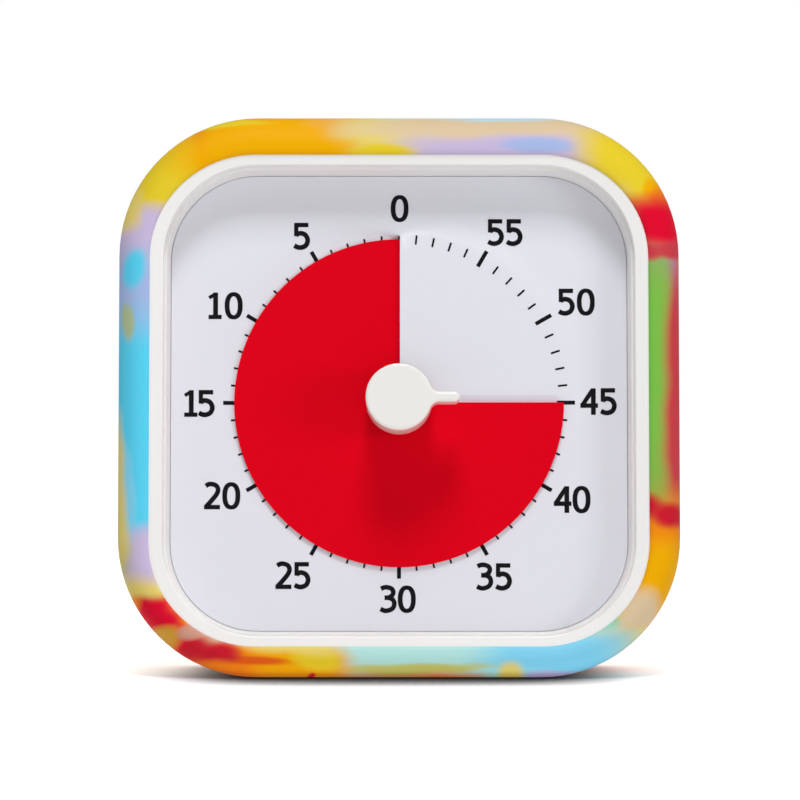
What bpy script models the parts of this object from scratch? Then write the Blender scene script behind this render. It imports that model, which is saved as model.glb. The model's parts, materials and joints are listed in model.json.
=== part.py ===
"""A 60 minute visual timer in a stretchy silicone cover, as the separate pieces it is made of.

Sizes are millimetres in the frame of the face: x to the right, y up the face, z out of the face,
with the mean plane of the dial at z = 0. An empty leans that frame back and stands it on a table.
The dial and the red disc are two shallow screw surfaces of one pitch. The disc follows the dial's
ramp as it turns, so it dives through the slit at 12 o'clock instead of cutting the dial.
"""

import math

import bmesh
import bpy
from mathutils import Vector

MM = 0.001
GAP = 0.3  # between pieces that touch or run close

# Stance: the face leans back, and the sides taper by the same angle, so the underside lies flat
LEAN = math.radians(5.0)
TAPER = math.tan(LEAN)

# Silicone cover
WIDTH = 90.0
HALF = WIDTH / 2
COVER_CORNER = 22.3
COVER_WALL = 3.0
COVER_PROUD = 0.5  # front of the cover ahead of the bezel
FRONT_ROLL_DEPTH = 5.3
COVER_BAND = 5.5  # width of the cover's rolled front, outside to lip
COVER_LIFT = 0.9  # how far the cover's outside sits above the middle of the face
LIP_THICKNESS = 2.7
LIP_ROUND = 0.5
ROLL_START = math.radians(72.0)  # where the rolled front starts, at the lip
BACK_ROLL = 4.0
BACK_LIP_THICKNESS = 2.4
BODY_DEPTH = 39.8  # front of the cover to its back

# Front housing, lens and dial seat
BEZEL_HEIGHT = 6.3  # bezel front above the dial
BEZEL_BAND = 1.8  # lip to the window's opening
LENS_RECESS = 0.5
LENS_THICKNESS = 1.5
LENS_LEDGE = 0.5
WALL_DRAFT = 1.0  # how far the wall round the dial narrows inward
DIAL_THICKNESS = 0.45
DIAL_SEAT_WIDTH = 2.4
DIAL_SEAT_THICKNESS = 2.0
HOUSING_WALL = 2.0
BEZEL_WALL = 1.5
EDGE_CHAMFER = 0.4
PARTING_DEPTH = 10.0

# Rear housing
PANEL_RECESS = 0.4  # rear panel behind the back of the cover
PANEL_WALL = 2.2
PANEL_EDGE = 0.8
PANEL_MARGIN = 2.9  # rear panel past the end of the battery door
REAR_CHAMFER = 1.6

# Screw shared by dial and disc
SCREW_PITCH = 1.2
RAMP_RADIUS = 26.9
SLIT_END_RADIUS = 27.9
DIAL_FLAT_RADIUS = 31.5
SLIT_WIDTH = 0.3
SLIT_BLEND = 0.035  # turns, where the ramp's two ends meet beyond the slit
DISC_RADIUS = 26.5
DISC_THICKNESS = 0.25
DISC_CLEARANCE = 0.25
SHOWN_TURN = 0.75  # 45 minutes are set
STRIP_WIDTH = 0.95
STRIP_START = 9.9
STRIP_END = 25.7
STRIP_ROUND = 0.7

# Knob and arbor
KNOB_RADIUS = 5.3
KNOB_FRONT = 11.8
KNOB_EDGE = 0.4
KNOB_UNDERSIDE = 2.2
FIN_REACH = 9.6
FIN_HALF_WIDTH = 0.8
FIN_FILLET = 1.5
STEM_RADIUS = 2.4
STEM_FLAT = 1.9
STEM_END = -2.4
HUB_WALL = 2.2
HUB_LOW = -0.95
HUB_HIGH = 1.05
ARBOR_RADIUS = 1.0
ARBOR_IN_KNOB = 5.6  # how far the arbor reaches above the knob's underside

# Movement
PLATE_FRONT = -3.3
PLATE_THICKNESS = 1.2
CASE_WALL = 1.2
CASE_BACK = -14.0
CASE_LEFT, CASE_RIGHT = -13.0, 26.0
CASE_LOW, CASE_HIGH = -16.0, 20.0
EAR_PAST_SCREW = 2.6
EAR_HALF_HEIGHT = 3.5
PIVOT_RADIUS = 0.5
PIVOT_BITE = 0.9  # depth of each pivot in its plate

# Gear levels, front and back face of each
LEVEL_1 = (-6.0, -7.0)
LEVEL_2 = (-8.2, -9.0)
LEVEL_3 = (-10.2, -11.0)
CAM_LEVEL = (-4.9, -5.6)
CLUTCH_LEVEL = (-7.3, -7.9)
FLANGE_LEVEL = (-8.2, -9.0)
CAM_RADIUS = 4.0
CAM_NOTCH = 1.2
LEAF_THICKNESS = 0.3
LEAF_REACH = 2.8  # past the arbor
LEAF_FOOT_LENGTH = 1.8
LEAF_FOOT_HEIGHT = 2.2
CLUTCH_RADIUS = 2.6
FLANGE_RADIUS = 2.4

# Gear train from the centre wheel, which turns once an hour, to the rotor
CENTRE_TEETH, THIRD_PINION_TEETH, CENTRE_MODULE = 64, 8, 0.3
THIRD_TEETH, SECONDS_PINION_TEETH, THIRD_MODULE = 60, 8, 0.25
SECONDS_TEETH, STEP_PINION_TEETH, SECONDS_MODULE = 60, 10, 0.2
STEP_TEETH, ROTOR_PINION_TEETH, STEP_MODULE = 40, 8, 0.2
THIRD_BEARING = math.radians(60.0)  # direction of each axis from the one before
SECONDS_BEARING = math.radians(-10.0)
STEP_BEARING = math.radians(-80.0)
ROTOR_BEARING = math.radians(-100.0)
TOOTH_TIP = 0.75
TOOTH_ROOT = 1.25
TIP_SHARE = 0.08
CENTRE_HUB_RADIUS = 3.0

# Stepping motor
MAGNET_RADIUS = 2.6
MAGNET_LEVEL = (-8.0, -11.0)
STATOR_LEVEL = (-9.0, -9.8)
STATOR_BORE = 3.0
STATOR_MARGIN = 0.9
STATOR_LEG = 3.4
STATOR_HALF_WIDTH = 9.2
COIL_BELOW_ROTOR = 7.75
COIL_HALF_LENGTH = 5.4
COIL_HALF_HEIGHT = 2.6
COIL_HALF_DEPTH = 1.9
CORE_HALF_HEIGHT = 1.2
CORE_THICKNESS = 0.8
PEG_RADIUS = 1.0

# Battery bay in the rear housing
BATTERY_RADIUS = 7.1
BATTERY_BODY_LENGTH = 49.5
BATTERY_NUB_LENGTH = 1.0
BATTERY_NUB_RADIUS = 2.75
BATTERY_SEAM = 0.4
BATTERY_Y = -15.3
BAY_WALL = 1.2
SPRING_LENGTH = 3.8  # squeezed, with the battery in
BAY_SIDE_PLAY = 1.2
BAY_FLOOR_PLAY = 0.6
CONTACT_THICKNESS = 0.5
CONTACT_HALF = 4.5
SPRING_WIRE = 0.4  # radius
SPRING_TURNS = 3
SPRING_TOP_RADIUS = 2.6
SPRING_BASE_RADIUS = 4.6
DOOR_OVERLAP = 1.4  # door past the end of the bay
DOOR_HALF_HEIGHT = 9.3
DOOR_THICKNESS = 1.7
DOOR_SEAT = 1.6
TAB_HALF_WIDTH = 3.0
TAB_REACH = 1.0
TAB_THICKNESS = 0.6
TAB_X = 8.0
GRIP_HALF_WIDTH = 5.0
GRIP_DEPTH = 0.7

# Screws and their bosses
UPPER_SCREW_INSET = 18.0  # from the sides of the cover
LOWER_SCREW_INSET = 16.4
LOWER_SCREW_X = 18.0
BOSS_RADIUS = 3.8
FRONT_BOSS_RADIUS = 3.2
SCREW_HEAD_RADIUS = 2.2
SCREW_HEAD_HEIGHT = 1.6
SCREW_SHANK_RADIUS = 1.25
SCREW_LENGTH = 12.0
SCREW_SEAT_DEPTH = 17.0
RIB_WIDTH = 1.6
PAD_INSET = 1.5  # movement screws inside the dial's seat
SMALL_SCREW_SHANK = 0.9
SMALL_SCREW_HEAD = 1.8
SMALL_SCREW_HEAD_HEIGHT = 1.0
MOVEMENT_SCREW_LENGTH = 3.6

# Electronics on the back panel
BOARD_THICKNESS = 1.6
BOARD_BEHIND = 4.8  # room between the board and the rear panel
BOARD_MARGIN = 1.7  # between the board and the upper bosses
BOARD_LOW, BOARD_HIGH = 0.0, 27.5
POST_RADIUS = 2.2
POST_INSET = 2.5
POST_LOW, POST_HIGH = 2.5, 25.0
BOARD_SCREW_LENGTH = 4.0
BUZZER_RADIUS = 7.5
BUZZER_AT = (0.0, 18.0)
BUZZER_HEIGHT = 3.9
BUZZER_PORT_RADIUS = 1.2
SLOT_COUNT = 5
SLOT_PITCH = 3.0
SLOT_HALF_WIDTH = 0.7
SLOT_HALF_HEIGHT = 5.0
SWITCH_INSET = 7.0  # from the side of the board
SWITCH_Y = 12.0
SWITCH_TRAVEL = 3.0
SWITCH_HALF_LENGTH = 4.6
SWITCH_HALF_HEIGHT = 2.2
SWITCH_DEPTH = 3.4
CAP_HALF_LENGTH = 2.5
CAP_HALF_HEIGHT = 1.7
CAP_THICKNESS = 1.2
CAP_WELL = 1.2
CAP_STEM_HALF = 0.9
CAP_RIB = 0.35
CRYSTAL_AT = (-8.0, 8.0)
CRYSTAL_RADIUS = 1.0
CRYSTAL_LENGTH = 6.0
CHIP_AT = (6.0, 7.0)
CHIP_RADIUS = 3.0
CHIP_HEIGHT = 1.1

# Facets
CORNER_STEPS = 7
ROLL_STEPS = 6
DIAL_STEPS = 48
ROUND_STEPS = 32
SMALL_STEPS = 12

# Half widths and places on the face that follow from the sizes above
LIP_HALF = HALF - COVER_BAND
OPENING_HALF = LIP_HALF - BEZEL_BAND
DIAL_OPENING_HALF = OPENING_HALF - WALL_DRAFT
DIAL_SEAT_HALF = DIAL_OPENING_HALF - DIAL_SEAT_WIDTH
BAY_HALF_LENGTH = (BATTERY_BODY_LENGTH + BATTERY_NUB_LENGTH + SPRING_LENGTH + 2 * CONTACT_THICKNESS) / 2 + 2.5 * GAP
DOOR_HALF_LENGTH = BAY_HALF_LENGTH + DOOR_OVERLAP
PANEL_HALF = DOOR_HALF_LENGTH + PANEL_MARGIN
BACK_OPENING_HALF = PANEL_HALF + GAP
UPPER_SCREW = (HALF - UPPER_SCREW_INSET, HALF - UPPER_SCREW_INSET)
LOWER_SCREW = (LOWER_SCREW_X, LOWER_SCREW_INSET - HALF)
MOVEMENT_SCREW_X = DIAL_SEAT_HALF - PAD_INSET
EAR_REACH = MOVEMENT_SCREW_X + EAR_PAST_SCREW
BOARD_HALF_WIDTH = UPPER_SCREW[0] - BOSS_RADIUS - BOARD_MARGIN
POST_X = BOARD_HALF_WIDTH - POST_INSET
SWITCH_AT = (BOARD_HALF_WIDTH - SWITCH_INSET, SWITCH_Y)

# Heights that follow
COVER_FRONT = BEZEL_HEIGHT + COVER_PROUD
WIDEST = COVER_FRONT - FRONT_ROLL_DEPTH
COVER_BACK = COVER_FRONT - BODY_DEPTH
LIP_UNDERSIDE = COVER_FRONT - LIP_THICKNESS
SHOULDER = LIP_UNDERSIDE - GAP
LENS_FRONT = BEZEL_HEIGHT - LENS_RECESS
LENS_BACK = LENS_FRONT - LENS_THICKNESS
LENS_SEAT = LENS_BACK - GAP
DIAL_SEAT = -DIAL_THICKNESS - GAP
SEAT_BACK = DIAL_SEAT - DIAL_SEAT_THICKNESS
PARTING = -PARTING_DEPTH
PLATE_BACK = PLATE_FRONT - PLATE_THICKNESS
CASE_FRONT = PLATE_BACK - GAP
CASE_FLOOR = CASE_BACK + CASE_WALL
PANEL = COVER_BACK + PANEL_RECESS
PANEL_INSIDE = PANEL + PANEL_WALL
SHELF = COVER_BACK + BACK_LIP_THICKNESS + GAP
SHELF_INSIDE = SHELF + HOUSING_WALL
BAY_FRONT = CASE_BACK - GAP
BAY_FLOOR = BAY_FRONT - BAY_WALL
BATTERY_Z = BAY_FLOOR - BAY_FLOOR_PLAY - BATTERY_RADIUS
BAY_HALF_HEIGHT = BATTERY_RADIUS + BAY_SIDE_PLAY
DOOR_INSIDE = PANEL + DOOR_THICKNESS
BOARD_BACK = PANEL_INSIDE + BOARD_BEHIND
BOARD_FRONT = BOARD_BACK + BOARD_THICKNESS
HUB_RADIUS = STEM_RADIUS + GAP + HUB_WALL
DIAL_HOLE = HUB_RADIUS + GAP
SCREW_SEAT = -SCREW_SEAT_DEPTH

# Depth of the assembly in the world, front of the knob to the back of the cover, set about y = 0
STAND_HEIGHT = (HALF - COVER_LIFT) * math.cos(LEAN) - WIDEST * math.sin(LEAN)
WORLD_FRONT = -KNOB_FRONT * math.cos(LEAN) - (KNOB_RADIUS - KNOB_EDGE) * math.sin(LEAN)
ROLL_CENTRE = HALF - (WIDEST - COVER_BACK - BACK_ROLL) * TAPER - BACK_ROLL / math.cos(LEAN)
ROLL_TOP = ROLL_CENTRE + COVER_LIFT
WORLD_BACK = ROLL_TOP * math.sin(LEAN) - (COVER_BACK + BACK_ROLL) * math.cos(LEAN) + BACK_ROLL


def clear_scene():
    for old in list(bpy.data.objects):
        bpy.data.objects.remove(old, do_unlink=True)


def face_frame():
    """The empty that carries every piece: leaned back, and standing on z = 0."""
    frame = bpy.data.objects.new("face_frame", None)
    bpy.context.scene.collection.objects.link(frame)
    frame.rotation_euler = (math.pi / 2 - LEAN, 0.0, 0.0)
    frame.location = Vector((0.0, -(WORLD_FRONT + WORLD_BACK) / 2, STAND_HEIGHT)) * MM
    return frame


clear_scene()
FACE = face_frame()


def material(name, colour, roughness, metallic=0.0, transmission=0.0):
    made = bpy.data.materials.new(name)
    made.use_nodes = True
    shader = made.node_tree.nodes["Principled BSDF"]
    shader.inputs["Base Color"].default_value = (*colour, 1.0)
    shader.inputs["Roughness"].default_value = roughness
    shader.inputs["Metallic"].default_value = metallic
    shader.inputs["Transmission Weight"].default_value = transmission
    made.diffuse_color = (*colour, 1.0)
    return made


SILICONE = material("marbled_silicone", (0.85, 0.45, 0.1), 0.55)
WHITE = material("white_abs", (0.80, 0.79, 0.78), 0.35)
DIAL_WHITE = material("dial_white", (0.76, 0.78, 0.80), 0.5)
RED = material("red_film", (0.70, 0.0, 0.01), 0.45)
CLEAR = material("clear_acrylic", (0.95, 0.95, 0.95), 0.03, transmission=1.0)
KNOB_WHITE = material("knob_white", (0.80, 0.79, 0.76), 0.35)
GREY = material("grey_abs", (0.35, 0.36, 0.38), 0.5)
GEAR_WHITE = material("gear_nylon", (0.75, 0.74, 0.68), 0.45)
STEEL = material("steel", (0.55, 0.56, 0.58), 0.3, metallic=1.0)
COPPER = material("copper", (0.72, 0.32, 0.16), 0.35, metallic=1.0)
MAGNET = material("rotor_nylon", (0.08, 0.08, 0.09), 0.5)
BOARD = material("board_green", (0.03, 0.22, 0.09), 0.4)
BLACK = material("black_plastic", (0.02, 0.02, 0.022), 0.45)
CELL = material("battery_sleeve", (0.12, 0.13, 0.15), 0.35)


def add_mesh(name, points, faces, colour, at=(0.0, 0.0, 0.0)):
    """A closed mesh from points in millimetres, faces turned outward, carried by the face frame."""
    mesh = bpy.data.meshes.new(name)
    mesh.from_pydata([Vector(point) * MM for point in points], [], faces)
    shape = bmesh.new()
    shape.from_mesh(mesh)
    bmesh.ops.recalc_face_normals(shape, faces=shape.faces)
    shape.to_mesh(mesh)
    shape.free()
    mesh.shade_smooth()
    mesh.set_sharp_from_angle(angle=math.radians(32.0))
    if colour:
        mesh.materials.append(colour)
    made = bpy.data.objects.new(name, mesh)
    bpy.context.scene.collection.objects.link(made)
    made.parent = FACE
    made.location = Vector(at) * MM
    return made


def combine(target, tool, operation):
    change = target.modifiers.new(tool.name, "BOOLEAN")
    change.operation = operation
    change.object = tool
    tool.hide_render = True
    tool.display_type = "WIRE"
    return target


def cut(target, *tools):
    for tool in tools:
        combine(target, tool, "DIFFERENCE")
    return target


def fuse(target, *tools):
    for tool in tools:
        combine(target, tool, "UNION")
    return target


def loft(name, rings, colour, at=(0.0, 0.0, 0.0), loop=False):
    """Skin through rings of equal point count, capped at both ends or closed into a loop."""
    count = len(rings[0])
    points = [point for ring in rings for point in ring]
    faces = []
    spans = len(rings) if loop else len(rings) - 1
    for span in range(spans):
        near, far = span * count, (span + 1) % len(rings) * count
        for step in range(count):
            after = (step + 1) % count
            faces.append((near + step, near + after, far + after, far + step))
    if not loop:
        faces.append(tuple(range(count)))
        faces.append(tuple(range(len(points) - count, len(points))))
    return add_mesh(name, points, faces, colour, at)


def rounded_square(half, corner, z):
    """Square outline with round corners, counter-clockwise seen from the front."""
    flat = half - corner
    points = []
    for quarter, (side_x, side_y) in enumerate(((1, 1), (-1, 1), (-1, -1), (1, -1))):
        for step in range(CORNER_STEPS + 1):
            angle = math.pi / 2 * (quarter + step / CORNER_STEPS)
            x = side_x * flat + corner * math.cos(angle)
            y = side_y * flat + corner * math.sin(angle)
            points.append((x, y, z))
    return points


def case_ring(half, z, lift=0.0):
    """Ring of the case at one depth: all its outlines share the cover's corner centres."""
    ring = rounded_square(half, COVER_CORNER - (HALF - half), z)
    return [(x, y + lift, z) for x, y, z in ring]


def prism(name, outline, z_low, z_high, colour=None, at=(0.0, 0.0, 0.0)):
    rings = [[(x, y, z) for x, y in outline] for z in (z_low, z_high)]
    return loft(name, rings, colour, at)


def block(name, x_span, y_span, z_span, colour=None, at=(0.0, 0.0, 0.0)):
    outline = [(x_span[0], y_span[0]), (x_span[1], y_span[0])]
    outline += [(x_span[1], y_span[1]), (x_span[0], y_span[1])]
    return prism(name, outline, z_span[0], z_span[1], colour, at)


def circle(radius, steps=SMALL_STEPS, start=0.0):
    turns = [start + 2 * math.pi * step / steps for step in range(steps)]
    return [(radius * math.cos(turn), radius * math.sin(turn)) for turn in turns]


def drum(name, radius, z_low, z_high, colour=None, at=(0.0, 0.0, 0.0), steps=SMALL_STEPS):
    return prism(name, circle(radius, steps), z_low, z_high, colour, at)


def turned(name, profile, colour=None, at=(0.0, 0.0, 0.0), steps=SMALL_STEPS, loop=False):
    """Solid of revolution about z. An open profile starts and ends on the axis."""
    if loop:
        rings = [[(x, y, z) for x, y in circle(radius, steps)] for radius, z in profile]
        return loft(name, rings, colour, at, loop=True)
    body = profile[1:-1]
    points = [(0.0, 0.0, profile[0][1]), (0.0, 0.0, profile[-1][1])]
    faces = []
    for radius, z in body:
        points += [(x, y, z) for x, y in circle(radius, steps)]
    for step in range(steps):
        after = (step + 1) % steps
        faces.append((0, 2 + step, 2 + after))
        last = 2 + (len(body) - 1) * steps
        faces.append((1, last + step, last + after))
        for row in range(len(body) - 1):
            near, far = 2 + row * steps, 2 + (row + 1) * steps
            faces.append((near + step, near + after, far + after, far + step))
    return add_mesh(name, points, faces, colour, at)


def screw(name, at, head_radius, head_height, shank_radius, length, way, colour=STEEL):
    """Pan head screw whose head rests at z = 0 and whose tip lies at way * length."""
    profile = [(0.0, -head_height), (head_radius * 0.8, -head_height)]
    profile += [(head_radius, -head_height * 0.6), (head_radius, 0.0), (shank_radius, 0.0)]
    profile += [(shank_radius, length - shank_radius), (shank_radius * 0.3, length), (0.0, length)]
    return turned(name, [(radius, way * z) for radius, z in profile], colour, at)


# Case: cover, housings and lens

def cover_half(z):
    """Half width of the cover's outside at a depth behind its widest line."""
    return HALF - max(0.0, WIDEST - z) * TAPER


def cover_inside(z):
    return cover_half(z) - COVER_WALL


def housing_half(z):
    return cover_inside(z) - GAP


def front_lift(half):
    """Lift of the cover's front: none at the lip, which fits the bezel, and all of it outside."""
    return COVER_LIFT * (half - LIP_HALF) / (HALF - LIP_HALF)


def silicone_cover():
    front = [(LIP_HALF + LIP_ROUND / 2, WIDEST + FRONT_ROLL_DEPTH * math.sin(ROLL_START) - LIP_ROUND / 4)]
    for step in range(ROLL_STEPS):
        angle = ROLL_START * (1 - step / (ROLL_STEPS - 1))
        half = LIP_HALF + (HALF - LIP_HALF) * math.cos(angle)
        front.append((half, WIDEST + FRONT_ROLL_DEPTH * math.sin(angle)))
    back = []
    for step in range(ROLL_STEPS - 1):
        angle = -LEAN - (math.pi / 2 - LEAN) * step / (ROLL_STEPS - 2)
        half = ROLL_CENTRE + BACK_ROLL * math.cos(angle)
        back.append((half, COVER_BACK + BACK_ROLL + BACK_ROLL * math.sin(angle)))
    lip_back = COVER_BACK + BACK_LIP_THICKNESS
    bend = LIP_THICKNESS / 2
    inside = [(BACK_OPENING_HALF, COVER_BACK), (BACK_OPENING_HALF, lip_back)]
    inside += [(cover_inside(lip_back) - bend, lip_back), (cover_inside(lip_back + bend), lip_back + bend)]
    inside += [(cover_inside(WIDEST), WIDEST), (cover_inside(WIDEST), LIP_UNDERSIDE)]
    inside += [(LIP_HALF, LIP_UNDERSIDE), (LIP_HALF, front[1][1] - LIP_ROUND)]
    rings = [case_ring(half, z, front_lift(half)) for half, z in front]
    rings += [case_ring(half, z, COVER_LIFT) for half, z in back]
    rings += [case_ring(half, z) for half, z in inside]
    return loft("silicone_cover", rings, SILICONE, loop=True)


def front_bosses(housing):
    """Screw bosses with a rib each to the seat, and the two pads that carry the movement."""
    for side in (-1, 1):
        upper = (side * UPPER_SCREW[0], UPPER_SCREW[1], 0.0)
        lower = (side * LOWER_SCREW[0], LOWER_SCREW[1], 0.0)
        wall = DIAL_OPENING_HALF + BEZEL_WALL / 2
        top = DIAL_SEAT - GAP
        rib = block("tool_upper_rib", (0.0, FRONT_BOSS_RADIUS * 2.6), (-RIB_WIDTH / 2, RIB_WIDTH / 2),
                    (SEAT_BACK - 2.0, top), at=upper)
        rib.rotation_euler.z = math.pi / 4 if side > 0 else math.pi * 3 / 4
        fuse(housing, rib)
        low_rib = block("tool_lower_rib", (-RIB_WIDTH / 2, RIB_WIDTH / 2), (-wall - LOWER_SCREW[1], 0.0),
                        (SEAT_BACK - 2.0, top), at=lower)
        fuse(housing, low_rib)
        for at in (upper, lower):
            fuse(housing, drum("tool_boss", FRONT_BOSS_RADIUS, PARTING, top, at=at))
            pilot = drum("tool_pilot", SCREW_SHANK_RADIUS + GAP, PARTING - 1.0,
                         SCREW_SEAT + SCREW_LENGTH + GAP, at=at)
            cut(housing, pilot)
        pad_at = (side * MOVEMENT_SCREW_X, 0.0, 0.0)
        fuse(housing, drum("tool_pad", FRONT_BOSS_RADIUS, PLATE_FRONT + GAP, top, at=pad_at))
        cut(housing, drum("tool_pad_pilot", SMALL_SCREW_SHANK + GAP, PLATE_FRONT, top - GAP, at=pad_at))
    return housing


def front_housing():
    outside = housing_half(WIDEST)
    bezel_outer = LIP_HALF - GAP
    channel_top = SHOULDER - HOUSING_WALL + EDGE_CHAMFER
    channel_in = DIAL_OPENING_HALF + BEZEL_WALL
    profile = [(housing_half(PARTING), PARTING), (outside, WIDEST)]
    profile += [(outside, SHOULDER - EDGE_CHAMFER), (outside - EDGE_CHAMFER, SHOULDER)]
    profile += [(bezel_outer, SHOULDER), (bezel_outer, BEZEL_HEIGHT - EDGE_CHAMFER)]
    profile += [(bezel_outer - EDGE_CHAMFER, BEZEL_HEIGHT)]
    profile += [(OPENING_HALF + EDGE_CHAMFER / 2, BEZEL_HEIGHT)]
    profile += [(OPENING_HALF, BEZEL_HEIGHT - EDGE_CHAMFER / 2), (OPENING_HALF, LENS_SEAT)]
    profile += [(OPENING_HALF - LENS_LEDGE, LENS_SEAT), (DIAL_OPENING_HALF, DIAL_SEAT)]
    profile += [(DIAL_SEAT_HALF, DIAL_SEAT), (DIAL_SEAT_HALF, SEAT_BACK), (channel_in, SEAT_BACK)]
    profile += [(channel_in, channel_top), (outside - HOUSING_WALL, channel_top)]
    profile += [(housing_half(PARTING) - HOUSING_WALL, PARTING)]
    housing = loft("front_housing", [case_ring(half, z) for half, z in profile], WHITE, loop=True)
    return front_bosses(housing)


def lens():
    half = OPENING_HALF - GAP
    window = prism("lens", [point[:2] for point in case_ring(half, 0.0)], LENS_BACK, LENS_FRONT, CLEAR)
    hole = drum("tool_lens_hole", KNOB_RADIUS + GAP, LENS_BACK - 1.0, LENS_FRONT + 1.0, steps=ROUND_STEPS)
    return cut(window, hole)


def rear_shell():
    top = PARTING - GAP
    inner = HOUSING_WALL
    step_z = SHELF + REAR_CHAMFER
    profile = [(PANEL_HALF - PANEL_EDGE, PANEL), (PANEL_HALF, PANEL + PANEL_EDGE), (PANEL_HALF, SHELF)]
    profile += [(housing_half(SHELF) - REAR_CHAMFER, SHELF), (housing_half(step_z), step_z)]
    profile += [(housing_half(top), top), (housing_half(top) - inner, top)]
    profile += [(housing_half(step_z) - inner, SHELF_INSIDE + REAR_CHAMFER / 2)]
    profile += [(housing_half(step_z) - inner - REAR_CHAMFER / 2, SHELF_INSIDE)]
    profile += [(PANEL_HALF - PANEL_WALL, SHELF_INSIDE), (PANEL_HALF - PANEL_WALL, PANEL_INSIDE)]
    return loft("rear_housing", [case_ring(half, z) for half, z in profile], WHITE)


def battery_bay(housing):
    """The tub for the battery, the seat of its door, and the pockets for the door's two tabs."""
    past = PANEL - 1.0
    outer_x, outer_y = BAY_HALF_LENGTH + BAY_WALL, BAY_HALF_HEIGHT + BAY_WALL
    seat_x, seat_y = DOOR_HALF_LENGTH + GAP, DOOR_HALF_HEIGHT + GAP
    seat_z = DOOR_INSIDE + GAP
    low_y = BATTERY_Y - seat_y
    spans = {
        "tub": ((-outer_x, outer_x), (BATTERY_Y - outer_y, BATTERY_Y + outer_y), (PANEL + 1.0, BAY_FRONT)),
        "seat": ((-seat_x - BAY_WALL, seat_x + BAY_WALL), (low_y - BAY_WALL, BATTERY_Y + seat_y + BAY_WALL),
                 (PANEL + 1.0, seat_z + DOOR_SEAT)),
    }
    for name, (x_span, y_span, z_span) in spans.items():
        fuse(housing, block("tool_" + name, x_span, y_span, z_span))
    inner_y = (BATTERY_Y - BAY_HALF_HEIGHT, BATTERY_Y + BAY_HALF_HEIGHT)
    cut(housing, block("tool_bay", (-BAY_HALF_LENGTH, BAY_HALF_LENGTH), inner_y, (past, BAY_FLOOR)))
    cut(housing, block("tool_door_recess", (-seat_x, seat_x), (low_y, BATTERY_Y + seat_y), (past, seat_z)))
    grip_y = BATTERY_Y + seat_y
    cut(housing, block("tool_grip", (-GRIP_HALF_WIDTH, GRIP_HALF_WIDTH), (grip_y - 1.0, grip_y + BAY_WALL * 2),
                       (past, PANEL + GRIP_DEPTH)))
    for side in (-1, 1):
        pocket_x = (side * TAB_X - TAB_HALF_WIDTH - GAP, side * TAB_X + TAB_HALF_WIDTH + GAP)
        pocket_z = (DOOR_INSIDE - TAB_THICKNESS - GAP, seat_z + GAP)
        cut(housing, block("tool_tab_pocket", pocket_x, (low_y - TAB_REACH, low_y + 1.0), pocket_z))
    return housing


def screw_wells(housing):
    for side in (-1, 1):
        for x, y in (UPPER_SCREW, LOWER_SCREW):
            at = (side * x, y, 0.0)
            fuse(housing, drum("tool_column", BOSS_RADIUS, PANEL + 1.0, PARTING - GAP, at=at))
            cut(housing, drum("tool_well", SCREW_HEAD_RADIUS + GAP, PANEL - 1.0, SCREW_SEAT + GAP, at=at))
            cut(housing, drum("tool_shank", SCREW_SHANK_RADIUS + GAP, PANEL - 1.0, PARTING + 1.0, at=at))
    return housing


def board_posts(housing):
    for x, y in board_post_places():
        fuse(housing, drum("tool_post", POST_RADIUS, PANEL + 1.0, BOARD_BACK - GAP, at=(x, y, 0.0)))
    for x, y in board_screw_places():
        depth = BOARD_BACK - BOARD_SCREW_LENGTH
        cut(housing, drum("tool_post_pilot", SMALL_SCREW_SHANK + GAP, depth, BOARD_BACK, at=(x, y, 0.0)))
    return housing


def back_openings(housing):
    """Sound slots over the buzzer, and the well and slot of the sound switch."""
    past = PANEL - 1.0
    for index in range(SLOT_COUNT):
        x = BUZZER_AT[0] + (index - (SLOT_COUNT - 1) / 2) * SLOT_PITCH
        slot = block("tool_sound_slot", (-SLOT_HALF_WIDTH, SLOT_HALF_WIDTH),
                     (-SLOT_HALF_HEIGHT, SLOT_HALF_HEIGHT), (past, PANEL_INSIDE + 1.0), at=(x, BUZZER_AT[1], 0.0))
        cut(housing, slot)
    at = (*SWITCH_AT, 0.0)
    well_x = CAP_HALF_LENGTH + SWITCH_TRAVEL / 2 + GAP
    stem_x = CAP_STEM_HALF + SWITCH_TRAVEL / 2 + GAP
    stem_y = CAP_STEM_HALF + GAP
    cut(housing, block("tool_cap_well", (-well_x, well_x), (-CAP_HALF_HEIGHT - GAP, CAP_HALF_HEIGHT + GAP),
                       (past, PANEL + CAP_WELL), at=at))
    cut(housing, block("tool_cap_slot", (-stem_x, stem_x), (-stem_y, stem_y), (past, PANEL_INSIDE + 1.0), at=at))
    return housing


def rear_housing():
    housing = battery_bay(rear_shell())
    screw_wells(housing)
    board_posts(housing)
    return back_openings(housing)


def case_screws():
    places = [(x, y) for x, y in (UPPER_SCREW, LOWER_SCREW)]
    corners = [(side * x, y) for x, y in places for side in (-1, 1)]
    for index, (x, y) in enumerate(corners):
        screw(f"case_screw_{index + 1}", (x, y, SCREW_SEAT), SCREW_HEAD_RADIUS, SCREW_HEAD_HEIGHT,
              SCREW_SHANK_RADIUS, SCREW_LENGTH, 1)


# Face: dial, disc and knob

def clock_point(radius, turn):
    """Point at a radius and a number of turns counter-clockwise from 12 o'clock."""
    return -radius * math.sin(2 * math.pi * turn), radius * math.cos(2 * math.pi * turn)


def smooth_step(value):
    value = min(1.0, max(0.0, value))
    return value * value * (3 - 2 * value)


def ramp(turn):
    """Height of the shared screw surface."""
    return SCREW_PITCH * (turn - 0.5)


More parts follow.
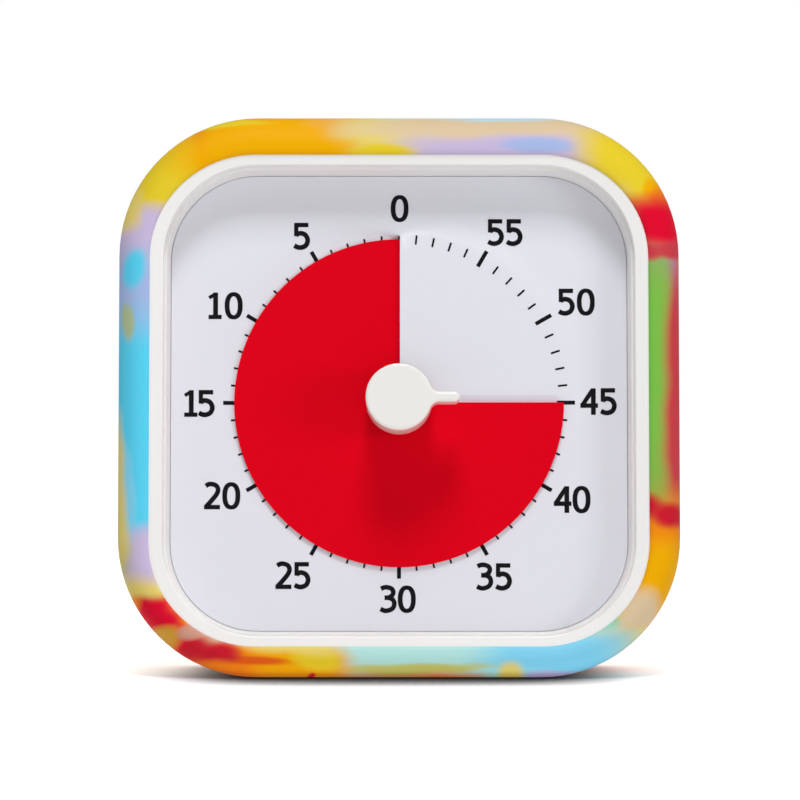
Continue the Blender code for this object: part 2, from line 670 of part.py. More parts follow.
def dial_height(radius, turn):
    """The ramp inside, flat outside, and beyond the slit its two ends eased into one sheet."""
    if radius <= RAMP_RADIUS:
        return ramp(turn)
    fade = smooth_step((DIAL_FLAT_RADIUS - radius) / (DIAL_FLAT_RADIUS - RAMP_RADIUS))
    widening = (radius - RAMP_RADIUS) / (SLIT_END_RADIUS - RAMP_RADIUS)
    blend = SLIT_BLEND * min(1.6, widening)
    return ramp(turn) * fade * smooth_step(min(turn, 1 - turn) / blend)


def reach_to_outline(turn, half, corner):
    """How far a ray from the centre runs to a square outline with round corners."""
    x, y = (abs(value) for value in clock_point(1.0, turn))
    run = half / max(x, y)
    flat = half - corner
    if min(x, y) * run <= flat:
        return run
    along = flat * (x + y)
    return along + math.sqrt(along ** 2 - 2 * flat ** 2 + corner ** 2)


def dial():
    """Plate with a round hole and a slit: inner rings are open at 12 o'clock, outer ones closed."""
    half = DIAL_OPENING_HALF - GAP
    corner = COVER_CORNER - (HALF - half)
    middle = (SLIT_END_RADIUS + DIAL_FLAT_RADIUS) / 2
    radii = [DIAL_HOLE, RAMP_RADIUS, SLIT_END_RADIUS, middle, DIAL_FLAT_RADIUS, None]
    points, index, faces = [], {}, []
    for row, radius in enumerate(radii):
        is_open = row < 2
        for column in range(DIAL_STEPS + (1 if is_open else 0)):
            turn = column / DIAL_STEPS
            if is_open and column in (0, DIAL_STEPS):
                nudge = math.asin(SLIT_WIDTH / 2 / radius) / (2 * math.pi)
                turn += nudge if column == 0 else -nudge
            reach = reach_to_outline(turn, half, corner) if radius is None else radius
            height = 0.0 if radius is None else dial_height(radius, turn)
            for layer, drop in enumerate((0.0, DIAL_THICKNESS)):
                index[row, column, layer] = len(points)
                points.append((*clock_point(reach, turn), height - drop))
            if not is_open and column == 0:
                for layer in (0, 1):
                    index[row, DIAL_STEPS, layer] = index[row, 0, layer]
    last = len(radii) - 1
    for column in range(DIAL_STEPS):
        after = column + 1
        for row in range(last):
            for layer in (0, 1):
                faces.append((index[row, column, layer], index[row, after, layer],
                              index[row + 1, after, layer], index[row + 1, column, layer]))
        for row in (0, last):
            faces.append((index[row, column, 0], index[row, after, 0],
                          index[row, after, 1], index[row, column, 1]))
    for row in (0, 1):
        for column in (0, DIAL_STEPS):
            faces.append((index[row, column, 0], index[row + 1, column, 0],
                          index[row + 1, column, 1], index[row, column, 1]))
    return add_mesh("dial", points, faces, DIAL_WHITE)


def disc_sheet(name, colour=None):
    """One turn of the screw surface, from the hub to the rim, ending at the shown turn."""
    points, faces = [], []
    for column in range(DIAL_STEPS + 1):
        turn = SHOWN_TURN - 1 + column / DIAL_STEPS
        low = ramp(turn) + DISC_CLEARANCE
        for radius in (HUB_RADIUS - HUB_WALL / 2, DISC_RADIUS):
            for z in (low, low + DISC_THICKNESS):
                points.append((*clock_point(radius, turn), z))
    around = ((0, 1), (1, 3), (3, 2), (2, 0))
    for column in range(DIAL_STEPS):
        near, far = 4 * column, 4 * (column + 1)
        faces += [(near + a, near + b, far + b, far + a) for a, b in around]
    faces.append((0, 1, 3, 2))
    faces.append(tuple(4 * DIAL_STEPS + corner for corner in (0, 1, 3, 2)))
    return add_mesh(name, points, faces, colour)


def d_shape(radius, flat):
    """Round outline with one flat, as on a driven stem."""
    return [(x, max(y, -flat)) for x, y in circle(radius, SMALL_STEPS * 2)]


def red_disc():
    disc = disc_sheet("red_disc", RED)
    fuse(disc, drum("tool_hub", HUB_RADIUS, HUB_LOW, HUB_HIGH, steps=ROUND_STEPS))
    bore = prism("tool_hub_bore", d_shape(STEM_RADIUS + GAP, STEM_FLAT + GAP), HUB_LOW - 1.0, HUB_HIGH + 1.0)
    return cut(disc, bore)


def disc_edge_strip():
    """Clear strip along the leading edge, on the same screw surface as the disc."""
    stations = [(STRIP_START, 0.0), ((STRIP_START + STRIP_END) / 2, 0.0)]
    stations += [(STRIP_END - STRIP_ROUND, 0.0), (STRIP_END - STRIP_ROUND * 0.3, STRIP_ROUND * 0.3)]
    stations += [(STRIP_END, STRIP_ROUND)]
    rings = []
    for along, lowered in stations:
        ring = []
        for across in (DISC_CLEARANCE, DISC_CLEARANCE + STRIP_WIDTH - lowered):
            turn = SHOWN_TURN + math.atan2(across, along) / (2 * math.pi)
            low = ramp(turn) + DISC_CLEARANCE
            ring.append((along, across, low, low + DISC_THICKNESS))
        (x, y_low, low_a, high_a), (_, y_high, low_b, high_b) = ring
        rings.append([(x, y_low, low_a), (x, y_high, low_b), (x, y_high, high_b), (x, y_low, high_a)])
    return loft("disc_edge_strip", rings, CLEAR)


def knob_outline(inset):
    """Round knob with one pointer fin along +x, its roots filleted, drawn in by an inset."""
    radius, half_width = KNOB_RADIUS - inset, FIN_HALF_WIDTH - inset
    fillet = FIN_FILLET + inset
    centre_y = half_width + fillet
    centre_x = math.sqrt((radius + fillet) ** 2 - centre_y ** 2)
    root = math.atan2(centre_y, centre_x)
    end_x = FIN_REACH - FIN_HALF_WIDTH
    points = []
    for step in range(7):
        angle = -math.pi / 2 + math.pi * step / 6
        points.append((end_x + half_width * math.cos(angle), half_width * math.sin(angle)))
    for step in range(5):
        angle = -math.pi / 2 - (math.pi / 2 - root) * step / 4
        points.append((centre_x + fillet * math.cos(angle), centre_y + fillet * math.sin(angle)))
    for step in range(1, 32):
        angle = root + (2 * math.pi - 2 * root) * step / 32
        points.append((radius * math.cos(angle), radius * math.sin(angle)))
    mirrored = [(x, -y) for x, y in points[7:12]]
    return points + mirrored[::-1]


def knob():
    fin_low = LENS_FRONT + GAP
    levels = ((fin_low, 0.0), (KNOB_FRONT - KNOB_EDGE, 0.0))
    levels += ((KNOB_FRONT - KNOB_EDGE * 0.3, KNOB_EDGE * 0.3), (KNOB_FRONT, KNOB_EDGE))
    rings = [[(x, y, z) for x, y in knob_outline(inset)] for z, inset in levels]
    made = loft("knob", rings, KNOB_WHITE)
    fuse(made, drum("tool_knob_body", KNOB_RADIUS, KNOB_UNDERSIDE, fin_low + 1.0, steps=ROUND_STEPS))
    stem = prism("tool_knob_stem", d_shape(STEM_RADIUS, STEM_FLAT), STEM_END, KNOB_UNDERSIDE + 1.0)
    fuse(made, stem)
    socket = drum("tool_knob_socket", ARBOR_RADIUS + GAP, STEM_END - 1.0,
                  KNOB_UNDERSIDE + ARBOR_IN_KNOB + GAP)
    return cut(made, socket)


def centre_arbor():
    """Shaft from the knob's socket to the case, with the flange that backs the clutch spring."""
    end = CASE_FLOOR - PIVOT_BITE
    top = KNOB_UNDERSIDE + ARBOR_IN_KNOB
    profile = [(0.0, end), (ARBOR_RADIUS, end), (ARBOR_RADIUS, FLANGE_LEVEL[1])]
    profile += [(FLANGE_RADIUS, FLANGE_LEVEL[1]), (FLANGE_RADIUS, FLANGE_LEVEL[0])]
    profile += [(ARBOR_RADIUS, FLANGE_LEVEL[0]), (ARBOR_RADIUS, top), (0.0, top)]
    return turned("centre_arbor", profile, STEEL)


def alarm_cam():
    """Round cam with one notch, where the contact leaf drops at zero."""
    outline = []
    for x, y in circle(CAM_RADIUS, SMALL_STEPS * 2):
        turn = math.atan2(-x, y)
        depth = CAM_NOTCH * smooth_step(1 - abs(turn) / math.radians(24.0))
        scale = (CAM_RADIUS - depth) / CAM_RADIUS
        outline.append((x * scale, y * scale))
    cam = prism("alarm_cam", outline, CAM_LEVEL[1], CAM_LEVEL[0], BLACK)
    return cut(cam, drum("tool_cam_bore", ARBOR_RADIUS + GAP, CAM_LEVEL[1] - 1.0, CAM_LEVEL[0] + 1.0))


def alarm_contact():
    """Springy leaf under the cam, with a foot on the movement's plate."""
    front = PLATE_BACK - GAP
    back = CAM_LEVEL[1] - GAP / 3
    top = -CAM_RADIUS - GAP
    low = top - LEAF_THICKNESS
    left = CASE_LEFT + CASE_WALL + GAP
    foot_right, foot_low = left + LEAF_FOOT_LENGTH, low - LEAF_FOOT_HEIGHT
    outline = [(left, top), (left, foot_low), (foot_right, foot_low), (foot_right, low)]
    outline += [(LEAF_REACH, low), (LEAF_REACH, top)]
    return prism("alarm_contact", outline, back, front, COPPER)


def clutch_spring():
    low, high = CLUTCH_LEVEL[1], CLUTCH_LEVEL[0]
    inner = ARBOR_RADIUS + GAP
    profile = [(inner, high - GAP), (inner, high), (CLUTCH_RADIUS, low + GAP), (CLUTCH_RADIUS, low)]
    return turned("clutch_spring", profile, STEEL, loop=True)


# Gear train

def gear_outline(teeth, module, phase):
    """Spur gear with slim straight-sided teeth, so that the train runs with play."""
    root, tip = module * (teeth / 2 - TOOTH_ROOT), module * (teeth / 2 + TOOTH_TIP)
    pitch = 2 * math.pi / teeth
    corners = ((tip, -TIP_SHARE), (tip, TIP_SHARE), (root, 0.5))
    points = []
    for tooth in range(teeth):
        for radius, share in corners:
            angle = phase + (tooth + share) * pitch
            points.append((radius * math.cos(angle), radius * math.sin(angle)))
    return points


def next_axis(place, teeth, pinion_teeth, module, bearing):
    distance = module * (teeth + pinion_teeth) / 2
    return place[0] + distance * math.cos(bearing), place[1] + distance * math.sin(bearing)


def meshing_phase(teeth, phase, other_teeth, bearing):
    """Phase that puts a gap of the other gear on each tooth of this one, along their bearing."""
    share = (bearing - phase) * teeth / (2 * math.pi)
    return bearing + math.pi - 2 * math.pi / other_teeth * (0.5 - share)


CENTRE_AT = (0.0, 0.0)
THIRD_AT = next_axis(CENTRE_AT, CENTRE_TEETH, THIRD_PINION_TEETH, CENTRE_MODULE, THIRD_BEARING)
SECONDS_AT = next_axis(THIRD_AT, THIRD_TEETH, SECONDS_PINION_TEETH, THIRD_MODULE, SECONDS_BEARING)
STEP_AT = next_axis(SECONDS_AT, SECONDS_TEETH, STEP_PINION_TEETH, SECONDS_MODULE, STEP_BEARING)
ROTOR_AT = next_axis(STEP_AT, STEP_TEETH, ROTOR_PINION_TEETH, STEP_MODULE, ROTOR_BEARING)


def staff(name, at, colour):
    """Thin axle with both pivots in the plates of the movement."""
    front, back = PLATE_BACK + PIVOT_BITE, CASE_FLOOR - PIVOT_BITE
    profile = [(0.0, back), (PIVOT_RADIUS, back), (PIVOT_RADIUS, front), (0.0, front)]
    return turned(name, profile, colour, at=(*at, 0.0), steps=12)


def toothed(at, teeth, module, phase, level):
    return prism("tool_teeth", gear_outline(teeth, module, phase), level[1], level[0], at=(*at, 0.0))


def centre_wheel():
    outline = gear_outline(CENTRE_TEETH, CENTRE_MODULE, 0.0)
    wheel = prism("centre_wheel", outline, LEVEL_1[1], LEVEL_1[0], GEAR_WHITE)
    bore = drum("tool_centre_bore", ARBOR_RADIUS + GAP, LEVEL_1[1] - 1.0, LEVEL_1[0] + 1.0)
    return cut(wheel, bore)


def third_wheel():
    phase = meshing_phase(CENTRE_TEETH, 0.0, THIRD_PINION_TEETH, THIRD_BEARING)
    wheel = staff("third_wheel", THIRD_AT, GEAR_WHITE)
    fuse(wheel, toothed(THIRD_AT, THIRD_PINION_TEETH, CENTRE_MODULE, phase, LEVEL_1))
    return fuse(wheel, toothed(THIRD_AT, THIRD_TEETH, THIRD_MODULE, 0.0, LEVEL_2))


def seconds_wheel():
    phase = meshing_phase(THIRD_TEETH, 0.0, SECONDS_PINION_TEETH, SECONDS_BEARING)
    wheel = staff("seconds_wheel", SECONDS_AT, GEAR_WHITE)
    fuse(wheel, toothed(SECONDS_AT, SECONDS_PINION_TEETH, THIRD_MODULE, phase, LEVEL_2))
    return fuse(wheel, toothed(SECONDS_AT, SECONDS_TEETH, SECONDS_MODULE, 0.0, LEVEL_3))


def step_wheel():
    phase = meshing_phase(SECONDS_TEETH, 0.0, STEP_PINION_TEETH, STEP_BEARING)
    wheel = staff("step_wheel", STEP_AT, GEAR_WHITE)
    fuse(wheel, toothed(STEP_AT, STEP_PINION_TEETH, SECONDS_MODULE, phase, LEVEL_3))
    return fuse(wheel, toothed(STEP_AT, STEP_TEETH, STEP_MODULE, 0.0, LEVEL_1))


def rotor():
    phase = meshing_phase(STEP_TEETH, 0.0, ROTOR_PINION_TEETH, ROTOR_BEARING)
    made = staff("rotor", ROTOR_AT, MAGNET)
    fuse(made, toothed(ROTOR_AT, ROTOR_PINION_TEETH, STEP_MODULE, phase, LEVEL_1))
    return fuse(made, drum("tool_magnet", MAGNET_RADIUS, MAGNET_LEVEL[1], MAGNET_LEVEL[0], at=(*ROTOR_AT, 0.0)))


# Movement: plate, case and motor

def movement_plate():
    left, right, low, high = CASE_LEFT, CASE_RIGHT, CASE_LOW, CASE_HIGH
    ear = EAR_HALF_HEIGHT
    outline = [(left, low), (right, low), (right, -ear), (EAR_REACH, -ear), (EAR_REACH, ear)]
    outline += [(right, ear), (right, high), (left, high), (left, ear), (-EAR_REACH, ear)]
    outline += [(-EAR_REACH, -ear), (left, -ear)]
    plate = prism("movement_plate", outline, PLATE_BACK, PLATE_FRONT, GREY)
    span = (PLATE_BACK - 1.0, PLATE_FRONT + 1.0)
    cut(plate, drum("tool_arbor_hole", ARBOR_RADIUS + GAP, *span))
    for at in (THIRD_AT, SECONDS_AT, STEP_AT, ROTOR_AT):
        cut(plate, drum("tool_pivot_hole", PIVOT_RADIUS + GAP, *span, at=(*at, 0.0), steps=12))
    for side in (-1, 1):
        at = (side * MOVEMENT_SCREW_X, 0.0, 0.0)
        cut(plate, drum("tool_ear_hole", SMALL_SCREW_SHANK + GAP, *span, at=at))
    return plate


def movement_case():
    x_span, y_span = (CASE_LEFT, CASE_RIGHT), (CASE_LOW, CASE_HIGH)
    case = block("movement_case", x_span, y_span, (CASE_BACK, CASE_FRONT), GREY)
    inner_x = (CASE_LEFT + CASE_WALL, CASE_RIGHT - CASE_WALL)
    inner_y = (CASE_LOW + CASE_WALL, CASE_HIGH - CASE_WALL)
    cut(case, block("tool_case_room", inner_x, inner_y, (CASE_FLOOR, CASE_FRONT + 1.0)))
    for x in stator_leg_places():
        at = (x, ROTOR_AT[1] - STATOR_BORE, 0.0)
        fuse(case, drum("tool_peg", PEG_RADIUS, CASE_FLOOR - 0.5, STATOR_LEVEL[1] - GAP, at=at))
    span = (CASE_BACK - 1.0, CASE_FLOOR + 1.0)
    cut(case, drum("tool_case_arbor_hole", ARBOR_RADIUS + GAP, *span))
    for at in (THIRD_AT, SECONDS_AT, STEP_AT, ROTOR_AT):
        cut(case, drum("tool_case_pivot", PIVOT_RADIUS + GAP, *span, at=(*at, 0.0), steps=12))
    return case


def movement_screws():
    seat = PLATE_BACK - GAP
    for index, side in enumerate((-1, 1)):
        screw(f"movement_screw_{index + 1}", (side * MOVEMENT_SCREW_X, 0.0, seat), SMALL_SCREW_HEAD,
              SMALL_SCREW_HEAD_HEIGHT, SMALL_SCREW_SHANK, MOVEMENT_SCREW_LENGTH - GAP, 1)


def stator_leg_places():
    reach = STATOR_HALF_WIDTH - STATOR_LEG / 2
    return ROTOR_AT[0] - reach, ROTOR_AT[0] + reach


def stator():
    """Flat yoke round the rotor, with a leg down each side of the coil."""
    top = ROTOR_AT[1] + STATOR_BORE + STATOR_MARGIN
    coil_y = ROTOR_AT[1] - COIL_BELOW_ROTOR
    crotch = coil_y + COIL_HALF_HEIGHT + GAP
    foot = coil_y - CORE_HALF_HEIGHT - STATOR_MARGIN
    left, right = ROTOR_AT[0] - STATOR_HALF_WIDTH, ROTOR_AT[0] + STATOR_HALF_WIDTH
    outline = [(left, foot), (left + STATOR_LEG, foot), (left + STATOR_LEG, crotch)]
    outline += [(right - STATOR_LEG, crotch), (right - STATOR_LEG, foot), (right, foot)]
    outline += [(right, top), (left, top)]
    yoke = prism("stator", outline, STATOR_LEVEL[1], STATOR_LEVEL[0], STEEL)
    span = (STATOR_LEVEL[1] - 1.0, STATOR_LEVEL[0] + 1.0)
    return cut(yoke, drum("tool_stator_bore", STATOR_BORE, *span, at=(*ROTOR_AT, 0.0), steps=24))


def coil():
    coil_y = ROTOR_AT[1] - COIL_BELOW_ROTOR
    core_front = STATOR_LEVEL[1] - GAP
    core_z = (core_front - CORE_THICKNESS, core_front)
    middle = sum(core_z) / 2
    at = (ROTOR_AT[0], coil_y, 0.0)
    reach = STATOR_HALF_WIDTH
    block("coil_core", (-reach, reach), (-CORE_HALF_HEIGHT, CORE_HALF_HEIGHT), core_z, STEEL, at=at)
    winding = block("coil_winding", (-COIL_HALF_LENGTH, COIL_HALF_LENGTH), (-COIL_HALF_HEIGHT, COIL_HALF_HEIGHT),
                    (middle - COIL_HALF_DEPTH, middle + COIL_HALF_DEPTH), COPPER, at=at)
    hole_y = CORE_HALF_HEIGHT + GAP
    return cut(winding, block("tool_coil_hole", (-reach, reach), (-hole_y, hole_y),
                              (core_z[0] - GAP, core_z[1] + GAP), at=at))


# Power, sound and switch

def along_x(made):
    """Lays a piece turned about z along x."""
    made.rotation_euler.y = math.pi / 2
    return made


def battery_ends():
    """Where the battery's body starts and its nub ends, from the plus contact at the right."""
    tip = BAY_HALF_LENGTH - GAP - CONTACT_THICKNESS - GAP
    return tip - BATTERY_NUB_LENGTH - BATTERY_BODY_LENGTH, tip


def battery():
    low, _ = battery_ends()
    edge = BATTERY_SEAM
    end = BATTERY_BODY_LENGTH
    profile = [(0.0, 0.0), (BATTERY_RADIUS - edge, 0.0), (BATTERY_RADIUS, edge), (BATTERY_RADIUS, end - edge)]
    profile += [(BATTERY_RADIUS - edge, end), (BATTERY_NUB_RADIUS, end)]
    profile += [(BATTERY_NUB_RADIUS, end + BATTERY_NUB_LENGTH), (0.0, end + BATTERY_NUB_LENGTH)]
    return along_x(turned("battery", profile, CELL, at=(low, BATTERY_Y, BATTERY_Z), steps=24))


def battery_contacts():
    z_span = (BATTERY_Z - CONTACT_HALF, BATTERY_Z + CONTACT_HALF)
    y_span = (BATTERY_Y - CONTACT_HALF, BATTERY_Y + CONTACT_HALF)
    outer = BAY_HALF_LENGTH - GAP
    block("plus_contact", (outer - CONTACT_THICKNESS, outer), y_span, z_span, STEEL)
    block("minus_contact_plate", (-outer, CONTACT_THICKNESS - outer), y_span, z_span, STEEL)


def battery_spring():
    """Cone of wire between the minus plate and the battery, its turns from one formula."""
    base = CONTACT_THICKNESS - BAY_HALF_LENGTH + 2 * GAP + SPRING_WIRE
    top = battery_ends()[0] - GAP - SPRING_WIRE
    steps = SPRING_TURNS * 10
    route = []
    for step in range(steps + 1):
        share = step / steps
        angle = 2 * math.pi * SPRING_TURNS * share
        radius = SPRING_BASE_RADIUS + (SPRING_TOP_RADIUS - SPRING_BASE_RADIUS) * share
        route.append((base + (top - base) * share, radius * math.cos(angle), radius * math.sin(angle)))
    wire = bpy.data.curves.new("battery_spring", "CURVE")
    wire.dimensions = "3D"
    wire.bevel_depth = SPRING_WIRE * MM
    wire.bevel_resolution = 1
    wire.use_fill_caps = True
    path = wire.splines.new("POLY")
    path.points.add(len(route) - 1)
    for point, place in zip(path.points, route):
        point.co = (*(Vector(place) * MM), 1.0)
    wire.materials.append(STEEL)
    made = bpy.data.objects.new("battery_spring", wire)
    bpy.context.scene.collection.objects.link(made)
    made.parent = FACE
    made.location = Vector((0.0, BATTERY_Y, BATTERY_Z)) * MM
    return made


def battery_door():
    """Door whose origin is the outer edge of its tabbed side, about which it tilts open."""
    at = (0.0, BATTERY_Y - DOOR_HALF_HEIGHT, PANEL)
    height = 2 * DOOR_HALF_HEIGHT
    door = block("battery_door", (-DOOR_HALF_LENGTH, DOOR_HALF_LENGTH), (0.0, height), (0.0, DOOR_THICKNESS),
                 WHITE, at=at)
    for side in (-1, 1):
        tab_x = (side * TAB_X - TAB_HALF_WIDTH, side * TAB_X + TAB_HALF_WIDTH)
        tab = block("tool_tab", tab_x, (-TAB_REACH, 1.0), (DOOR_THICKNESS - TAB_THICKNESS, DOOR_THICKNESS), at=at)
        fuse(door, tab)
    scoop = block("tool_scoop", (-GRIP_HALF_WIDTH, GRIP_HALF_WIDTH), (height - BAY_WALL, height + 1.0),
                  (-1.0, GRIP_DEPTH), at=at)
    return cut(door, scoop)


def board_post_places():
    return [(side * POST_X, y) for y in (POST_LOW, POST_HIGH) for side in (-1, 1)]


def board_screw_places():
    return [board_post_places()[1], board_post_places()[2]]


def circuit_board():
    board = block("circuit_board", (-BOARD_HALF_WIDTH, BOARD_HALF_WIDTH), (BOARD_LOW, BOARD_HIGH),
                  (BOARD_BACK, BOARD_FRONT), BOARD)
    for index, (x, y) in enumerate(board_screw_places()):
        hole = drum("tool_board_hole", SMALL_SCREW_SHANK + GAP, BOARD_BACK - 1.0, BOARD_FRONT + 1.0, at=(x, y, 0.0))
        cut(board, hole)
        screw(f"board_screw_{index + 1}", (x, y, BOARD_FRONT + GAP), SMALL_SCREW_HEAD, SMALL_SCREW_HEAD_HEIGHT,
              SMALL_SCREW_SHANK, BOARD_THICKNESS + BOARD_SCREW_LENGTH - GAP, -1)
    return board


def board_parts():
    front = BOARD_FRONT + GAP
    dome = [(0.0, 0.0), (CHIP_RADIUS, 0.0), (CHIP_RADIUS * 0.85, CHIP_HEIGHT * 0.6)]
    dome += [(CHIP_RADIUS * 0.5, CHIP_HEIGHT), (0.0, CHIP_HEIGHT)]
    turned("control_chip", dome, BLACK, at=(*CHIP_AT, front))
    can = [(0.0, 0.0), (CRYSTAL_RADIUS, 0.0), (CRYSTAL_RADIUS, CRYSTAL_LENGTH), (0.0, CRYSTAL_LENGTH)]
    along_x(turned("quartz_crystal", can, STEEL, at=(*CRYSTAL_AT, front + CRYSTAL_RADIUS)))
    back = BOARD_BACK - GAP
    mouth = BUZZER_PORT_RADIUS
    cup = [(0.0, 0.0), (BUZZER_RADIUS, 0.0), (BUZZER_RADIUS, -BUZZER_HEIGHT), (mouth, -BUZZER_HEIGHT)]
    cup += [(mouth, -BUZZER_HEIGHT * 0.6), (0.0, -BUZZER_HEIGHT * 0.6)]
    turned("buzzer", cup, BLACK, at=(*BUZZER_AT, back), steps=24)
    block("sound_switch_body", (-SWITCH_HALF_LENGTH, SWITCH_HALF_LENGTH), (-SWITCH_HALF_HEIGHT, SWITCH_HALF_HEIGHT),
          (back - SWITCH_DEPTH, back), STEEL, at=(*SWITCH_AT, 0.0))


def sound_switch_cap():
    """Cap in its well on the back, drawn at the left end of its travel, with a ribbed top."""
    floor = PANEL + CAP_WELL - GAP
    switch_back = BOARD_BACK - GAP - SWITCH_DEPTH
    at = (SWITCH_AT[0] - SWITCH_TRAVEL / 2, SWITCH_AT[1], 0.0)
    cap = block("sound_switch_cap", (-CAP_HALF_LENGTH, CAP_HALF_LENGTH), (-CAP_HALF_HEIGHT, CAP_HALF_HEIGHT),
                (floor - CAP_THICKNESS, floor), BLACK, at=at)
    stem = block("tool_cap_stem", (-CAP_STEM_HALF, CAP_STEM_HALF), (-CAP_STEM_HALF, CAP_STEM_HALF),
                 (floor - CAP_THICKNESS / 2, switch_back - GAP), at=at)
    fuse(cap, stem)
    for side in (-1, 0, 1):
        groove_x = (side * CAP_HALF_LENGTH / 2 - CAP_RIB, side * CAP_HALF_LENGTH / 2 + CAP_RIB)
        groove = block("tool_cap_groove", groove_x, (-CAP_HALF_HEIGHT - 1.0, CAP_HALF_HEIGHT + 1.0),
                       (floor - CAP_THICKNESS - 1.0, floor - CAP_THICKNESS + CAP_RIB), at=at)
        cut(cap, groove)
    return cap


def build():
    silicone_cover()
    front_housing()
    rear_housing()
    lens()
    case_screws()
    dial()
    red_disc()
    disc_edge_strip()
    knob()
    centre_arbor()
    alarm_cam()
    alarm_contact()
    clutch_spring()
    centre_wheel()
    third_wheel()
    seconds_wheel()
    step_wheel()
    rotor()
    movement_plate()
    movement_case()
    movement_screws()
    stator()
    coil()
    battery()
    battery_contacts()
    battery_spring()
    battery_door()
    circuit_board()
    board_parts()
    sound_switch_cap()


build()
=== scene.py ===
# %% [markdown]
# # A visual timer in a marbled silicone cover
# The object is a square desk timer with round corners. A red disc sweeps a numbered dial behind a
# clear window, a knob in the middle sets it, and a soft marbled cover is stretched round the case.
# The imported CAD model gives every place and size. This script gives the pieces that show a finer
# surface and every piece its finish, so the first step is to load that model.

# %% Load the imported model
import json
import math
import bmesh
import bpy
import numpy as np
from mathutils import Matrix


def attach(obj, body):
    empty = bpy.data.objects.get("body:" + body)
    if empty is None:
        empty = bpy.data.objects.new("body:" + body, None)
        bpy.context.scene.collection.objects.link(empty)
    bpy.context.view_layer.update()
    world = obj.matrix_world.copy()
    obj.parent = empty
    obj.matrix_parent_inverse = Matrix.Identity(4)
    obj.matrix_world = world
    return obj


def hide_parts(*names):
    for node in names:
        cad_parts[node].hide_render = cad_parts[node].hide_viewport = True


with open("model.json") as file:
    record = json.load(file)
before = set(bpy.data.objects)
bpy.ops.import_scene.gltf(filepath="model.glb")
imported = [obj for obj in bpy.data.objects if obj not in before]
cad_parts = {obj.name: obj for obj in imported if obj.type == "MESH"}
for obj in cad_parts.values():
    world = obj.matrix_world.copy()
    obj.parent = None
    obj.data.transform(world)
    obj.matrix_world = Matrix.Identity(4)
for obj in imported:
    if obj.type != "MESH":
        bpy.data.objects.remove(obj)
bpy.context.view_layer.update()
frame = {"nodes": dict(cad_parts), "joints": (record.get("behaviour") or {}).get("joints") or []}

# %% [markdown]
# ## The frame of the face
# The face leans back by five degrees, so x, y and z of the world are awkward to think in. Every new
# surface could be made upright and rotated afterwards, but an object must stay unturned here. So all
# shapes are written in millimetres on the face, with x to the right, y up the face and z out of it,
# and one function carries whole arrays of points into the world. The knob's own joint gives the
# origin and the direction out of the face.

# %% The face frame, from the knob's joint
knob_joint = next(joint for joint in frame["joints"] if joint["name"] == "knob_turn")
CENTRE = np.array(knob_joint["pos_m"])
OUT = np.array(knob_joint["axis"])
ACROSS = np.array([1.0, 0.0, 0.0])
UP = np.cross(OUT, ACROSS)
LEAN = math.atan2(OUT[2], -OUT[1])
MM = 0.001
print("the face leans back", round(math.degrees(LEAN), 2), "degrees")


def to_world(points):
    """World point = centre + x times across + y times up + z times out, from millimetres."""
    points = np.asarray(points, dtype=float) * MM
    return CENTRE + points[..., :1] * ACROSS + points[..., 1:2] * UP + points[..., 2:] * OUT


# %% [markdown]
# ## From a grid of points to a mesh
# A lathe, a loft, a flat plate and a strip of ink are the same thing to a computer: a grid of points
# whose neighbours are joined by quads. Modelling tools could make each of them by hand, but a grid
# keeps the formula in one line and is exact. A grid whose side runs on to its start closes like a
# tube, and a face over its first and last row closes the ends. The helper then merges points that
# fall together, turns faces outwards and marks edges sharper than an angle.

# %% Grids and caps
def grid_faces(rows, columns, wrap_rows=False, wrap_columns=False):
    """Quad (r, c), (r + 1, c), (r + 1, c + 1), (r, c + 1) for each cell; a wrapped side runs on."""
    r = np.arange(rows if wrap_rows else rows - 1)[:, None]
    c = np.arange(columns if wrap_columns else columns - 1)[None, :]
    r_next, c_next = (r + 1) % rows, (c + 1) % columns
    corners = [r * columns + c, r_next * columns + c, r_next * columns + c_next, r * columns + c_next]
    return np.stack(np.broadcast_arrays(*corners), axis=-1).reshape(-1, 4).tolist()


def shell(points, wrap_rows=False, wrap_columns=True, caps=False):
    """Points of shape (rows, columns, 3) and their quads; caps adds a face over both end rows."""
    points = np.asarray(points, dtype=float)
    rows, columns = points.shape[:2]
    faces = grid_faces(rows, columns, wrap_rows, wrap_columns)
    if caps:
        faces += [list(range(columns)), list(range((rows - 1) * columns, rows * columns))]
    return points.reshape(-1, 3), faces


# %% From shells to a piece
MERGED_WITHIN = 2e-8  # metres
TOO_SHORT = 1e-9  # metres


def make_piece(name, shells, finish, body, replaces=(), sharp=32.0):
    """Joins shells into one mesh in the world, merges its doubles and turns its faces outwards."""
    starts = np.cumsum([0] + [len(points) for points, _ in shells])
    points = to_world(np.concatenate([points for points, _ in shells]))
    faces = [[int(start) + corner for corner in face]
             for start, (_, quads) in zip(starts, shells) for face in quads]
    mesh = bpy.data.meshes.new(name)
    mesh.from_pydata(points.tolist(), [], faces)
    work = bmesh.new()
    work.from_mesh(mesh)
    bmesh.ops.remove_doubles(work, verts=work.verts, dist=MERGED_WITHIN)
    bmesh.ops.dissolve_degenerate(work, edges=work.edges, dist=TOO_SHORT)
    bmesh.ops.recalc_face_normals(work, faces=work.faces)
    work.to_mesh(mesh)
    work.free()
    mesh.polygons.foreach_set("use_smooth", np.ones(len(mesh.polygons), dtype=bool))
    mesh.set_sharp_from_angle(angle=math.radians(sharp))
    mesh.materials.append(finish)
    piece = bpy.data.objects.new(name, mesh)
    bpy.context.scene.collection.objects.link(piece)
    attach(piece, body)
    if replaces:
        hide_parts(*replaces)
    print(name, "rides on", body, "with", len(mesh.polygons), "faces")


